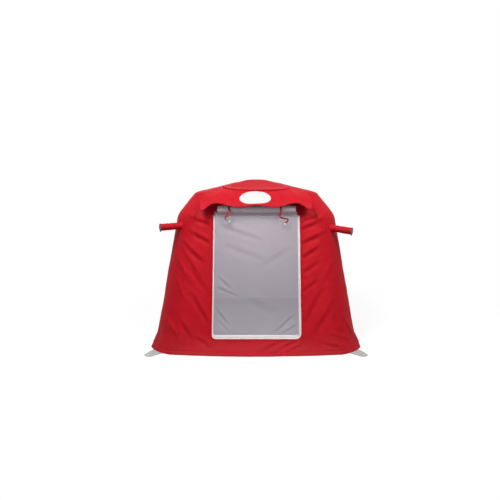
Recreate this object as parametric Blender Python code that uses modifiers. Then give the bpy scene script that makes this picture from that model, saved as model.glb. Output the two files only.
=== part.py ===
"""Inflatable tent with a crossed air frame, a zipped mesh door and two filler hoses.

Metres, +Z up. The origin is on the ground under the middle of the tent, the door faces -Y.
"""
import math

import bmesh
import bpy
from mathutils import Matrix, Vector

# Cloth shell: heights and rises, half widths and corner cuts at the folds, from floor to crown
SKIRT_HEIGHT = 0.13
KNEE_HEIGHT = 1.315
SHOULDER_RISE = 0.235
ROOF_RISE = 0.150
FLOOR_HALF_WIDTH = 1.04
SKIRT_HALF_WIDTH = 0.989
KNEE_HALF_WIDTH = 0.814
SHOULDER_HALF_WIDTH = 0.645
CROWN_HALF_WIDTH = 0.106
LEG_CUT = 0.22
KNEE_CUT = 0.20
SHOULDER_CUT = 0.16
CROWN_CUT = 0.05
CORNER_ROUND = 0.030
SHOULDER_ROUND = 0.025
CROWN_ROUND = 0.008
DEPTH_RATIO = 0.96
HEM_BULGE = 0.060
WALL_SAG = 0.018
FOLD_DEPTH = 0.006
CLOTH = 0.003
HEM_LIFT = 0.003
CROWN_DOME = 0.006
COVER_COLUMNS = 6

# Fit between neighbours that touch
GAP = 0.0003

# Air frame
TUBE_RADIUS = 0.080
TUBE_WALL = 0.003
TUBE_SETBACK = 0.0045
TUBE_SIDES = 20

# Ground sheet, a pan with a low rim
SHEET_RIM = 0.05
SHEET_THICKNESS = 0.0022

# Door and its zip, measured in the plane of the front wall
DOOR_HALF_WIDTH = 0.425
DOOR_BOTTOM = 0.148
DOOR_CORNER = 0.045
CORNER_FACETS = 6
HINGE_DROP = 0.0045
ZIP_SLOT = 0.0010
TEETH_WIDTH = 0.004
TEETH_THICKNESS = 0.0032
TAPE_WIDTH = 0.0090
TAPE_THICKNESS = 0.0014
MESH_THICKNESS = 0.002
MESH_WRINKLE = 0.004
SLIDER_HEIGHT = 0.741
SLIDER_LENGTH = 0.024
SLIDER_TOP_WIDTH = 0.0160
SLIDER_FOOT_WIDTH = 0.0136
SLIDER_PLATE = 0.0016
SLIDER_CLEARANCE = 0.0004
ARCH_LENGTH = 0.0140
ARCH_WIRE = 0.0014
PULL_LENGTH = 0.042
PULL_WIDTH = 0.0110
PULL_THICKNESS = 0.0016
PULL_SEAT = 0.0015

# Rain flap over the door, its blank patch, the rolled storm door and its ties;
# the flap's upper rises are from the shoulder fold, those of its hem, the roll and ties from the knee
FLAP_TOP_RISE = 0.072
FLAP_TOP_HALF_WIDTH = 0.355
FLAP_DIP = 0.100
FLAP_BROW_HALF_WIDTH = 0.500
FLAP_BROW_DEPTHS = (0.640, 0.600)
FLAP_BROW_RISES = (0.028, 0.035)
FLAP_FALL_HALF_WIDTH = 0.600
FLAP_FALL_DEPTHS = (0.820, 0.840)
FLAP_FALL_RISES = (-0.020, -0.050)
FLAP_HALF_WIDTH = 0.545
FLAP_REACH = 0.870
FLAP_HEM_SHARES = (0.0, 0.35, 0.74, 1.0)
FLAP_HEM_RISES = (0.095, 0.082, 0.119, 0.057)
PATCH_HALF_WIDTH = 0.160
PATCH_TOP_SHARE = 0.40
PATCH_MIDDLE_SHARE = 0.75
PATCH_BOTTOM_SHARE = 0.965
PATCH_THICKNESS = 0.0015
ROLL_RADIUS = 0.040
ROLL_CORE = 0.013
ROLL_TURNS = 3
ROLL_HALF_LENGTH = 0.375
ROLL_CLOTH = 0.0024
ROLL_TAIL = 0.060
ROLL_RISE = 0.060
TIE_PLACES = (-0.263, 0.283)
TIE_WIDTH = 0.018
TIE_THICKNESS = 0.0014
TIE_START = 0.092
TIE_DROPS = (0.048, 0.076)
TOGGLE_RADIUS = 0.011
TOGGLE_LENGTH = 0.032

# Filler hoses and their valves
HOSE_HEIGHTS = (1.209, 1.193)
HOSE_REACH = 0.300
HOSE_FORWARD_DEG = 30.0
HOSE_DROOPS_DEG = (2.6, 7.0)
HOSE_RADIUS = 0.0350
HOSE_WALL = 0.0030
FLANGE_RADIUS = 0.0380
FLANGE_THICKNESS = 0.005
VALVE_DEPTH = 0.032
VALVE_WALL = 0.007
VALVE_FIT = 0.0005
SEAT_RADIUS = 0.016
SEAT_THICKNESS = 0.003
HUB_RADIUS = 0.0065
HUB_BOTTOM = 0.024
HUB_TOP = 0.018
ARM_WIDTH = 0.003
ARMS = 3
STEM_RADIUS = 0.0026
STEM_CLEARANCE = 0.0004
BUTTON_RADIUS = 0.006
BUTTON_THICKNESS = 0.003
BUTTON_DEPTH = 0.007
POPPET_RADIUS = 0.019
SPRING_RADIUS = 0.0048
SPRING_WIRE = 0.0004
SPRING_TURNS = 4
CAP_RADIUS = 0.031
CAP_THICKNESS = 0.004
PLUG_DEPTH = 0.006
PLUG_WALL = 0.003
PLUG_CLEARANCE = 0.001
CAP_HINGE_RADIUS = 0.0405
KNUCKLE_RADIUS = 0.0022
KNUCKLE_LENGTH = 0.0100
EAR_THICKNESS = 0.003
EAR_CLEARANCE = 0.0005
PIN_RADIUS = 0.0010
PIN_CLEARANCE = 0.0003

# Peg tabs and their eyelets
TAB_LENGTH = 0.150
TAB_ROOT = 0.028
TAB_TURN_DEG = 12.0
TAB_ROOT_HALF_WIDTH = 0.075
TAB_TIP_RADIUS = 0.052
TAB_THICKNESS = 0.003
EYE_INSET = 0.036
EYE_RADIUS = 0.008
EYE_WALL = 0.0012
EYE_FLANGE = 0.014
EYE_PLATE = 0.0012

# Derived sizes
SHOULDER_HEIGHT = KNEE_HEIGHT + SHOULDER_RISE
CROWN_HEIGHT = SHOULDER_HEIGHT + ROOF_RISE
STATIONS = [
    (0.0, FLOOR_HALF_WIDTH, LEG_CUT, CORNER_ROUND),
    (SKIRT_HEIGHT, SKIRT_HALF_WIDTH, LEG_CUT, CORNER_ROUND),
    (KNEE_HEIGHT, KNEE_HALF_WIDTH, KNEE_CUT, CORNER_ROUND),
    (SHOULDER_HEIGHT, SHOULDER_HALF_WIDTH, SHOULDER_CUT, SHOULDER_ROUND),
    (CROWN_HEIGHT, CROWN_HALF_WIDTH, CROWN_CUT, CROWN_ROUND),
]
SIDES = ["front", "right", "rear", "left"]
CORNERS = ["front_right", "rear_right", "rear_left", "front_left"]
DIAGONAL = math.hypot(1.0, DEPTH_RATIO)
TEETH_EDGE = ZIP_SLOT + TEETH_WIDTH
ZIP_HALF = TEETH_EDGE + TAPE_WIDTH
HOSE_BORE = HOSE_RADIUS - HOSE_WALL
BARREL_RADIUS = HOSE_BORE - VALVE_FIT
BARREL_BORE = BARREL_RADIUS - VALVE_WALL
SLIDER_HOLLOW = TEETH_THICKNESS / 2 + SLIDER_CLEARANCE
SLIDER_FACE = SLIDER_HOLLOW + SLIDER_PLATE
PULL_AXIS = SLIDER_FACE + PULL_SEAT
TAB_BOTTOM = EYE_PLATE + GAP
TUBE_FLAT = TUBE_RADIUS * math.cos(math.pi / TUBE_SIDES)

RED = (0.62, 0.012, 0.022)
DARK_RED = (0.40, 0.010, 0.016)
SILVER = (0.58, 0.55, 0.58)
MESH_GREY = (0.42, 0.40, 0.42)
WHITE = (0.80, 0.78, 0.77)
TAB_GREY = (0.50, 0.54, 0.56)
SHEET_GREY = (0.22, 0.23, 0.25)
BLACK = (0.020, 0.020, 0.022)
TUBE_GREY = (0.16, 0.17, 0.19)
STEEL = (0.55, 0.55, 0.56)


# Scene and modelling helpers
def clear_scene():
    for item in list(bpy.data.objects):
        bpy.data.objects.remove(item, do_unlink=True)


def collection(name):
    found = bpy.data.collections.new(name)
    bpy.context.scene.collection.children.link(found)
    return found


def finish(name, colour, roughness, metallic=0.0):
    """A plain material, made once for each name."""
    found = bpy.data.materials.get(name)
    if found:
        return found
    made = bpy.data.materials.new(name)
    made.use_nodes = True
    shader = made.node_tree.nodes["Principled BSDF"]
    shader.inputs["Base Color"].default_value = (*colour, 1.0)
    shader.inputs["Roughness"].default_value = roughness
    shader.inputs["Metallic"].default_value = metallic
    made.diffuse_color = (*colour, 1.0)
    return made


def place(name, mesh, material, matrix=None):
    """A named piece in the tent's own collection."""
    item = bpy.data.objects.new(name, mesh)
    if material:
        mesh.materials.append(material)
    TENT.objects.link(item)
    if matrix is not None:
        item.matrix_world = matrix
    return item


def as_mesh(name, body):
    """A mesh from a bmesh, shaded smooth where it is round."""
    mesh = bpy.data.meshes.new(name)
    body.to_mesh(mesh)
    body.free()
    mesh.shade_smooth()
    mesh.set_sharp_from_angle(angle=math.radians(35))
    return mesh


def thicken(item, thickness, offset=-1.0):
    shell = item.modifiers.new("Thickness", "SOLIDIFY")
    shell.thickness = thickness
    shell.offset = offset
    shell.use_even_offset = True


def helper(item):
    """Marks a cutter or a shape that is joined into another."""
    TENT.objects.unlink(item)
    SHAPES.objects.link(item)
    item.hide_render = True
    item.display_type = "WIRE"
    return item


def combine(item, other, operation):
    step = item.modifiers.new(operation.title(), "BOOLEAN")
    step.operation = operation
    step.solver = "EXACT"
    step.object = helper(other)


def cut(item, other):
    combine(item, other, "DIFFERENCE")


def join(item, other):
    combine(item, other, "UNION")


def loft(rings, closed=False):
    """A closed body through rings of equally many points, ends capped, or the last joined to the first."""
    body = bmesh.new()
    loops = [[body.verts.new(point) for point in ring] for ring in rings]
    pairs = list(zip(loops, loops[1:]))
    if closed:
        pairs.append((loops[-1], loops[0]))
    for low, high in pairs:
        for here, there in zip(range(-1, len(low) - 1), range(len(low))):
            body.faces.new((low[here], low[there], high[there], high[here]))
    if not closed:
        body.faces.new(loops[0])
        body.faces.new(loops[-1])
    bmesh.ops.recalc_face_normals(body, faces=body.faces)
    return body


def cylinder(name, radius, low, high, matrix, sides=24, material=None):
    """A round bar along its own Z from low to high."""
    body = bmesh.new()
    bmesh.ops.create_cone(
        body, cap_ends=True, segments=sides, radius1=radius, radius2=radius, depth=high - low,
        matrix=Matrix.Translation((0, 0, (low + high) / 2)),
    )
    return place(name, as_mesh(name, body), material, matrix)


def block(name, low, high, matrix):
    """A box from its low corner to its high corner, in its own axes."""
    low, high = Vector(low), Vector(high)
    size = high - low
    body = bmesh.new()
    middle = Matrix.Translation((low + high) / 2) @ Matrix.Diagonal((*size, 1.0))
    bmesh.ops.create_cube(body, size=1.0, matrix=middle)
    return place(name, as_mesh(name, body), None, matrix)


def turned(name, profile, material, matrix, steps=32, closed=True):
    """A turned piece about its own Z. The profile (radius, height) runs down its outer side."""
    mesh = bpy.data.meshes.new(name)
    edges = [(i, i + 1) for i in range(len(profile) - 1)]
    if closed:
        edges.append((len(profile) - 1, 0))
    mesh.from_pydata([(radius, 0.0, height) for radius, height in profile], edges, [])
    item = place(name, mesh, material, matrix)
    spin = item.modifiers.new("Turn", "SCREW")
    spin.steps = spin.render_steps = steps
    spin.use_merge_vertices = True
    spin.merge_threshold = 0.00001
    spin.use_smooth_shade = True
    return item


def flat_outline(name, outlines, thickness, material, matrix):
    """A flat piece from closed outlines in its own XY plane, the later ones holes."""
    curve = bpy.data.curves.new(name, "CURVE")
    curve.dimensions = "2D"
    curve.fill_mode = "BOTH"
    curve.extrude = thickness / 2
    for outline in outlines:
        spline = curve.splines.new("POLY")
        spline.points.add(len(outline) - 1)
        for point, (x, y) in zip(spline.points, outline):
            point.co = (x, y, 0.0, 1.0)
        spline.use_cyclic_u = True
    return welded(name, curve, material, matrix)


def welded(name, curve, material, matrix):
    """The closed mesh of a curve, with its loose caps joined on."""
    source = bpy.data.objects.new(name + "_curve", curve)
    TENT.objects.link(source)
    source.matrix_world = matrix
    bpy.context.view_layer.update()
    graph = bpy.context.evaluated_depsgraph_get()
    mesh = bpy.data.meshes.new_from_object(source.evaluated_get(graph))
    mesh.name = name
    body = bmesh.new()
    body.from_mesh(mesh)
    bmesh.ops.remove_doubles(body, verts=body.verts, dist=0.000001)
    bmesh.ops.recalc_face_normals(body, faces=body.faces)
    body.to_mesh(mesh)
    body.free()
    mesh.materials.clear()
    bpy.data.objects.remove(source, do_unlink=True)
    return place(name, mesh, material, matrix)


def arc(centre, radius, start, end, count):
    """Points on an arc of a circle, angles in degrees."""
    step = (end - start) / (count - 1)
    turns = [math.radians(start + step * i) for i in range(count)]
    return [(centre[0] + radius * math.cos(a), centre[1] + radius * math.sin(a)) for a in turns]


def fraction(value, low, high):
    return (value - low) / (high - low)


def blend(low, high, share):
    return low + (high - low) * share


# The outer face of the cloth
def plan_at(height):
    """Half width, corner cut and corner rounding of the cloth at a height."""
    for (low, *below), (high, *above) in zip(STATIONS, STATIONS[1:]):
        if height <= high:
            share = fraction(height, low, high)
            return [blend(a, b, share) for a, b in zip(below, above)]
    return list(STATIONS[-1][1:])


def leg_plan_at(height):
    """The same along the straight legs, carried on to the floor without the skirt's flare."""
    share = fraction(height, SKIRT_HEIGHT, KNEE_HEIGHT)
    skirt, knee = STATIONS[1][1:], STATIONS[2][1:]
    return [blend(a, b, share) for a, b in zip(skirt, knee)]


def side_axes(turn):
    """The outward and the sideways direction of a side, counted anticlockwise from the front."""
    angle = math.radians(90 * turn - 90)
    outward = Vector((math.cos(angle), math.sin(angle), 0.0))
    return outward, Vector((-outward.y, outward.x, 0.0))


def side_point(turn, across, height, out=0.0, plan=None):
    """A point on one side of the cloth, across metres from its middle."""
    half, _, _ = plan or plan_at(height)
    outward, sideways = side_axes(turn)
    point = outward * (half + out) + sideways * across
    return Vector((point.x, point.y * DEPTH_RATIO, height))


def corner_point(turn, share, height, inset=0.0, plan=None):
    """A point on the rounded corner that follows a side, share from -1 to 1 across it."""
    half, cut_size, rounding = plan or plan_at(height)
    plan = (half - inset, cut_size, rounding)
    reach = half - inset - cut_size
    first = side_point(turn, reach, height, plan=plan)
    second = side_point(turn + 1, -reach, height, plan=plan)
    outward = (side_axes(turn)[0] + side_axes(turn + 1)[0]).normalized()
    return first.lerp(second, (1 + share) / 2) + outward * rounding * (1 - share * share)


def seam_setback(first, second):
    """How far back from a fold two sheets stop, so that their inner edges end a gap apart."""
    return CLOTH * math.tan(first.angle(second) / 2) + GAP / 2


def corner_seam(low, high):
    """The setback of a side panel and its corner cover from the seam between two heights."""
    foot, head = corner_point(0, -1.0, low), corner_point(0, -1.0, high)
    beyond = corner_point(0, -1.0 + 2 / COVER_COLUMNS, low)
    up, middle = head - foot, side_point(0, 0.0, low)
    return seam_setback(up.cross(beyond - foot), up.cross(foot - middle))


def slope_normal(low, high):
    """The outward direction of the front side's panel between two heights."""
    foot, head = side_point(0, 0.0, low), side_point(0, 0.0, high)
    return Vector((1.0, 0.0, 0.0)).cross(head - foot).normalized()


def fold_setback(below, above):
    """The setback of the panels below and above a fold, each given by its two heights."""
    return seam_setback(slope_normal(*below), slope_normal(*above))


def rungs(levels, steps):
    """Heights from level to level, each stretch in its own number of steps."""
    heights = [levels[0]]
    for low, high, count in zip(levels, levels[1:], steps):
        heights += [blend(low, high, (i + 1) / count) for i in range(count)]
    return heights


def rung_at(heights, v):
    return heights[round((v + 1) / 2 * (len(heights) - 1))]


def hem_bulge(across, height, half, cut_size):
    """How far the slack hem stands out between the legs."""
    if height >= SKIRT_HEIGHT:
        return 0.0
    along = across / (half - cut_size)
    return HEM_BULGE * (1 - along * along) * (1 - height / SKIRT_HEIGHT) ** 2


def pull_folds(u, v):
    """Folds that fan out from a panel's two top corners, none at its edges."""
    edge = (1 - u * u) * (1 - v * v)
    depth = 0.0
    for side in (-1, 1):
        spread = math.atan2(1 - v, 1 - side * u)
        reach = math.hypot(1 - v, 1 - side * u)
        depth += math.cos(9 * spread) * math.exp(-reach)
    return FOLD_DEPTH * 1.6 * depth * edge


def cloth_panel(name, lay, columns, rows, material, thickness=CLOTH, offset=-1.0):
    """A sewn panel: a grid from -1 to 1 both ways, laid by lay(u, v), one cloth thick."""
    body = bmesh.new()
    bmesh.ops.create_grid(body, x_segments=columns, y_segments=rows, size=1.0)
    for corner in body.verts:
        corner.co = lay(corner.co.x, corner.co.y)
    item = place(name, as_mesh(name, body), material)
    thicken(item, thickness, offset)
    return item


# Sewn panels of the shell
WALL_LEVELS = (SKIRT_HEIGHT, KNEE_HEIGHT)
SHOULDER_LEVELS = (KNEE_HEIGHT, SHOULDER_HEIGHT)
ROOF_LEVELS = (SHOULDER_HEIGHT, CROWN_HEIGHT)


def wall_heights():
    """Rows of a wall from the hem to the knee fold."""
    top = KNEE_HEIGHT - fold_setback(WALL_LEVELS, SHOULDER_LEVELS) * math.cos(wall_lean())
    return rungs([HEM_LIFT, SKIRT_HEIGHT, top], [2, 10])


def wall(turn):
    """A side wall from the hem to the knee fold, drawn in between its legs."""
    heights, setback = wall_heights(), corner_seam(*WALL_LEVELS)

    def lay(u, v):
        height = rung_at(heights, v)
        half, cut_size, _ = plan_at(height)
        across = u * (half - cut_size - setback)
        rise = max(0.0, math.sin(math.pi * fraction(height, *WALL_LEVELS)))
        sag = WALL_SAG * (1 - u * u) ** 2 * rise
        out = hem_bulge(across, height, half, cut_size) - sag + pull_folds(u, v)
        return side_point(turn, across, height, out)

    return cloth_panel("wall_" + SIDES[turn], lay, 12, len(heights) - 1, finish("red_cloth", RED, 0.75))


def front_wall(name, direction):
    """The front wall beside the door: direction is 1 on the right and -1 on the left."""
    heights, setback = wall_heights(), corner_seam(*WALL_LEVELS)

    def lay(u, v):
        height = rung_at(heights, v)
        half, cut_size, _ = plan_at(height)
        inner, outer = DOOR_HALF_WIDTH + ZIP_HALF + GAP, half - cut_size - setback
        across = direction * blend(inner, outer, (1 + direction * u) / 2)
        out = hem_bulge(across, height, half, cut_size) + pull_folds(direction * u, v)
        return side_point(0, across, height, out)

    return cloth_panel(name, lay, 6, len(heights) - 1, finish("red_cloth", RED, 0.75))


def sill_columns():
    """Positions across the sill: even in the middle, then one for each facet of the zip's corner."""
    inner, radius = DOOR_HALF_WIDTH - DOOR_CORNER, DOOR_CORNER + ZIP_HALF + GAP
    straight = [inner * i / 5 for i in range(6)]
    turns = [math.radians(90 * (i + 1) / CORNER_FACETS) for i in range(CORNER_FACETS)]
    half = straight + [min(inner + radius * math.sin(a), DOOR_HALF_WIDTH + ZIP_HALF) for a in turns]
    return [-x for x in reversed(half[1:])] + half


def front_sill():
    """The strip under the door, its top edge rounded up round the zip's corners."""
    columns, reach = sill_columns(), DOOR_HALF_WIDTH + ZIP_HALF + GAP

    def lay(u, v):
        across = rung_at(columns, u)
        top = door_height(foot_line(across, reach, ZIP_HALF + GAP))
        height = rung_at(rungs([HEM_LIFT, SKIRT_HEIGHT, top], [2, 2]), v)
        half, cut_size, _ = plan_at(height)
        return side_point(0, across, height, hem_bulge(across, height, half, cut_size))

    return cloth_panel("front_sill", lay, len(columns) - 1, 4, finish("red_cloth", RED, 0.75))


def sloped_panel(name, turn, levels, setbacks, columns, rows):
    """A shoulder or roof panel, flat between two folds, set back from the lower and the upper one."""
    length = (side_point(0, 0.0, levels[1]) - side_point(0, 0.0, levels[0])).length
    low, high = (blend(*levels, share / length) for share in (setbacks[0], length - setbacks[1]))
    setback = corner_seam(*levels)

    def lay(u, v):
        height = blend(low, high, (1 + v) / 2)
        half, cut_size, _ = plan_at(height)
        return side_point(turn, u * (half - cut_size - setback), height)

    return cloth_panel(name, lay, columns, rows, finish("red_cloth", RED, 0.75))


def crown_setback():
    """The setback at the crown's edge, where the roof meets the patch."""
    reach = DEPTH_RATIO * CROWN_HALF_WIDTH
    patch = Vector((0.0, -CROWN_DOME, reach)).normalized()
    return seam_setback(slope_normal(*ROOF_LEVELS), patch)


def corner_hem():
    """The corner hem's height, just clear of the tab that is sewn beneath it."""
    run = DIAGONAL * (FLOOR_HALF_WIDTH - SKIRT_HALF_WIDTH)
    return TAB_BOTTOM + TAB_THICKNESS + GAP + CLOTH * run / math.hypot(run, SKIRT_HEIGHT)


def cover_setback(height):
    """The cover's setback from its side seams, the larger one where two spans meet."""
    spans = [WALL_LEVELS, SHOULDER_LEVELS, ROOF_LEVELS]
    touching = [levels for levels in spans if levels[0] <= height <= levels[1]] or [WALL_LEVELS]
    return max(corner_seam(*levels) for levels in touching)


def corner_cover(turn):
    """The rounded strip over one leg, from the hem up over knee and shoulder to the crown."""
    high = corner_point(0, 0.0, CROWN_HEIGHT)
    slope = high - corner_point(0, 0.0, SHOULDER_HEIGHT)
    top = CROWN_HEIGHT - crown_setback() * slope.z / slope.length
    heights = rungs([corner_hem(), SKIRT_HEIGHT, KNEE_HEIGHT, SHOULDER_HEIGHT, top], [1, 5, 2, 3])

    def lay(u, v):
        height = rung_at(heights, v)
        chord = DIAGONAL * plan_at(height)[1]
        return corner_point(turn, u * (1 - 2 * cover_setback(height) / chord), height)

    name = "corner_cover_" + CORNERS[turn]
    cover = cloth_panel(name, lay, COVER_COLUMNS, len(heights) - 1, finish("red_cloth", RED, 0.75))
    if CORNERS[turn].startswith("front"):
        frame = hose_frame(turn)
        radius = HOSE_RADIUS + 2 * GAP
        cut(cover, cylinder("hose_hole_" + CORNERS[turn], radius, TUBE_RADIUS / 2, HOSE_REACH, frame))
    return cover


def corner_shares():
    return [-1.0 + 2.0 * i / COVER_COLUMNS for i in range(COVER_COLUMNS + 1)]


def crown_patch():
    """The small patch where the ridges meet, its middle slightly proud."""
    half, cut_size, rounding = plan_at(CROWN_HEIGHT)
    plan = (half - crown_setback(), cut_size, rounding)
    body = bmesh.new()
    rim = [corner_point(turn, share, CROWN_HEIGHT, plan=plan) for turn in range(4) for share in corner_shares()]
    face = body.faces.new([body.verts.new(point) for point in rim])
    top = bmesh.ops.poke(body, faces=[face])["verts"][0]
    top.co.z += CROWN_DOME
    item = place("crown_patch", as_mesh("crown_patch", body), finish("red_cloth", RED, 0.75))
    thicken(item, CLOTH)


# Air frame
def offset_line(first, second, distance):
    """A line in the (radius, height) plane, moved in towards the cabin."""
    direction = (second - first).normalized()
    inward = Vector((-direction.y, direction.x))
    return first + inward * distance, direction


def crossing(line, other):
    """Where two lines, each a point and a direction, meet."""
    (p, d), (q, e) = line, other
    across = d.x * e.y - d.y * e.x
    share = ((q.x - p.x) * e.y - (q.y - p.y) * e.x) / across
    return p + d * share


def ridge_line():
    """The outer face over one leg, as (radius, height) from the floor to the crown's middle."""
    points = []
    for height, half, cut_size, rounding in [(0.0, *leg_plan_at(0.0)), *STATIONS[2:]]:
        points.append(Vector(((half - cut_size / 2) * DIAGONAL + rounding, height)))
    return points + [Vector((0.0, CROWN_HEIGHT))]


def tube_line():
    """The air tube's centre line: foot, knee, shoulder, crown bend and crown centre."""
    ridge = ridge_line()
    inset = TUBE_SETBACK + TUBE_FLAT
    lines = [offset_line(a, b, inset) for a, b in zip(ridge, ridge[1:])]
    floor = (Vector((0.0, SHEET_THICKNESS + GAP)), Vector((1.0, 0.0)))
    middle = (Vector((0.0, 0.0)), Vector((0.0, 1.0)))
    lines = [floor, *lines, middle]
    return [crossing(a, b) for a, b in zip(lines, lines[1:])]


def leg_direction(turn):
    """The level direction from the middle of the tent to one corner."""
    first, second = side_axes(turn)[0], side_axes(turn + 1)[0]
    both = first + second
    return Vector((both.x, both.y * DEPTH_RATIO, 0.0)).normalized()


def in_space(turn, point):
    return leg_direction(turn) * point.x + Vector((0.0, 0.0, point.y))


def ring(centre, along, normal, radius):
    """A tube's edge where the plane at centre with that normal cuts it."""
    along = along.normalized()
    side = along.cross(Vector((0.0, 0.0, 1.0)))
    if side.length < 0.01:
        side = Vector((1.0, 0.0, 0.0))
    side.normalize()
    up = side.cross(along)
    points = []
    for i in range(TUBE_SIDES):
        angle = 2 * math.pi * (i + 0.5) / TUBE_SIDES
        out = (side * math.cos(angle) + up * math.sin(angle)) * radius
        points.append(centre + out - along * (out.dot(normal) / along.dot(normal)))
    return points


def mitre(before, at, after):
    """The normal of the plane where two straight tubes meet."""
    return ((at - before).normalized() + (after - at).normalized()).normalized()


def leg_tube(turn):
    """One leg of the air frame: welded shut at its foot, bent at the knee, open at the shoulder."""
    foot, knee, shoulder, bend, _ = [in_space(turn, point) for point in tube_line()]
    lower, upper = (knee - foot).normalized(), (shoulder - knee).normalized()
    level, knee_plane = Vector((0.0, 0.0, 1.0)), mitre(foot, knee, shoulder)
    weld = mitre(knee, shoulder, bend)
    end = shoulder - upper * GAP / 2
    inside = foot + lower * TUBE_WALL / lower.z
    bore = TUBE_RADIUS - TUBE_WALL
    rings = [
        ring(foot, lower, level, TUBE_RADIUS),
        ring(knee, lower, knee_plane, TUBE_RADIUS),
        ring(end, upper, weld, TUBE_RADIUS),
        ring(end, upper, weld, bore),
        ring(knee, lower, knee_plane, bore),
        ring(inside, lower, level, bore),
    ]
    name = "leg_tube_" + CORNERS[turn]
    leg = place(name, as_mesh(name, loft(rings)), finish("air_tube", TUBE_GREY, 0.5))
    if CORNERS[turn].startswith("front"):
        frame = hose_frame(turn)
        cut(leg, cylinder("port_" + CORNERS[turn], HOSE_BORE, TUBE_RADIUS / 2, TUBE_RADIUS * 1.5, frame))


def roof_bar(name, turn, radius, beyond):
    """A bent round bar from one shoulder over the crown to the opposite shoulder."""
    line = tube_line()[1:4]
    near = [in_space(turn, point) for point in line]
    far = [in_space(turn + 2, point) for point in line]
    knee, shoulder, bend = near
    along = (bend - shoulder).normalized()
    there = (far[1] - far[2]).normalized()
    flat = (far[2] - bend).normalized()
    rings = [
        ring(shoulder - along * beyond, along, mitre(knee, shoulder, bend), radius),
        ring(bend, along, mitre(shoulder, bend, far[2]), radius),
        ring(far[2], flat, mitre(bend, far[2], far[1]), radius),
        ring(far[1] + there * beyond, there, mitre(far[2], far[1], far[0]), radius),
    ]
    return place(name, as_mesh(name, loft(rings)), None)


def roof_cross_tube():
    """The four roof arms of the air frame, welded into one open cross."""
    cross = roof_bar("roof_cross_tube", 0, TUBE_RADIUS, -GAP / 2)
    cross.data.materials.append(finish("air_tube", TUBE_GREY, 0.5))
    join(cross, roof_bar("second_bar", 1, TUBE_RADIUS, -GAP / 2))
    bore = TUBE_RADIUS - TUBE_WALL
    cut(cross, roof_bar("first_bore", 0, bore, TUBE_RADIUS / 8))
    cut(cross, roof_bar("second_bore", 1, bore, TUBE_RADIUS / 8))


# Ground sheet
def plan_ring(height, inset, plan):
    return [corner_point(turn, share, height, inset, plan) for turn in range(4) for share in corner_shares()]


def ground_sheet():
    """The floor, turned up inside the walls and outside the legs."""
    low, high = leg_plan_at(0.0), leg_plan_at(SHEET_RIM)
    rings = [
        plan_ring(0.0, 0.0, low),
        plan_ring(SHEET_RIM, 0.0, high),
        plan_ring(SHEET_RIM, SHEET_THICKNESS, high),
        plan_ring(SHEET_THICKNESS, SHEET_THICKNESS, low),
    ]
    place("ground_sheet", as_mesh("ground_sheet", loft(rings)), finish("ground_sheet", SHEET_GREY, 0.6))


# Door plane: x to the right, y into the tent, z up the wall, zero on the hinge line
def wall_lean():
    run = DEPTH_RATIO * (SKIRT_HALF_WIDTH - KNEE_HALF_WIDTH)
    return math.atan2(run, KNEE_HEIGHT - SKIRT_HEIGHT)


def door_frame():
    height = KNEE_HEIGHT - HINGE_DROP
    lean = wall_lean()
    depth = -DEPTH_RATIO * plan_at(height)[0] + CLOTH / 2 / math.cos(lean)
    return Matrix.Translation((0.0, depth, height)) @ Matrix.Rotation(-lean, 4, "X")


def door_height(up_wall):
    """World height of a point given by its distance up the wall."""
    return KNEE_HEIGHT - HINGE_DROP + up_wall * math.cos(wall_lean())


def up_wall(height):
    return (height - KNEE_HEIGHT + HINGE_DROP) / math.cos(wall_lean())


def foot_line(x, half_width, outset):
    """The lower edge of the door opening, outset from the zip line, rounded at both corners."""
    radius = DOOR_CORNER + outset
    foot = up_wall(DOOR_BOTTOM) - outset
    beyond = abs(x) - (half_width - radius)
    if beyond <= 0:
        return foot
    return foot + radius - math.sqrt(max(0.0, radius * radius - beyond * beyond))


def zip_stations():
    """Centres and outward directions down the left side, along the foot and up the right side."""
    foot, inner = up_wall(DOOR_BOTTOM), DOOR_HALF_WIDTH - DOOR_CORNER
    stations = [((-DOOR_HALF_WIDTH, 0.0), (-1.0, 0.0))]
    for side, start in ((-1, 180), (1, 270)):
        for x, z in arc((0.0, 0.0), 1.0, start, start + 90, CORNER_FACETS + 1):
            centre = (side * inner + DOOR_CORNER * x, foot + DOOR_CORNER + DOOR_CORNER * z)
            stations.append((centre, (x, z)))
    return stations + [((DOOR_HALF_WIDTH, 0.0), (1.0, 0.0))]


def zip_section(side):
    """Tape and teeth across the zip: side is 1 for the wall's half and -1 for the door's."""
    teeth, tape = TEETH_THICKNESS / 2, TAPE_THICKNESS / 2
    outline = [
        (ZIP_SLOT, -teeth), (TEETH_EDGE, -teeth), (TEETH_EDGE, -tape), (ZIP_HALF, -tape),
        (ZIP_HALF, tape), (TEETH_EDGE, tape), (TEETH_EDGE, teeth), (ZIP_SLOT, teeth),
    ]
    return [(side * across, depth) for across, depth in outline]


def zip_half(name, side, stations):
    rings = []
    for (x, z), (out_x, out_z) in stations:
        rings.append([Vector((x + out_x * o, y, z + out_z * o)) for o, y in zip_section(side)])
    return place(name, as_mesh(name, loft(rings)), finish("zip_white", WHITE, 0.5), door_frame())


def zips():
    """The wall's half in one run, the door's half with its slider side as a run of its own."""
    stations = zip_stations()
    top, edge = -HINGE_DROP, DOOR_HALF_WIDTH
    left, right = ((-edge, top), (-1.0, 0.0)), ((edge, top), (1.0, 0.0))
    stations = [left, *stations[1:-1], right]
    zip_half("zip_half_wall", 1, stations)
    zip_half("zip_half_door", -1, stations[:-1])
    (x, z), out = stations[-2]
    zip_half("zip_run_door", -1, [((x, z + GAP), out), right])


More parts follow.
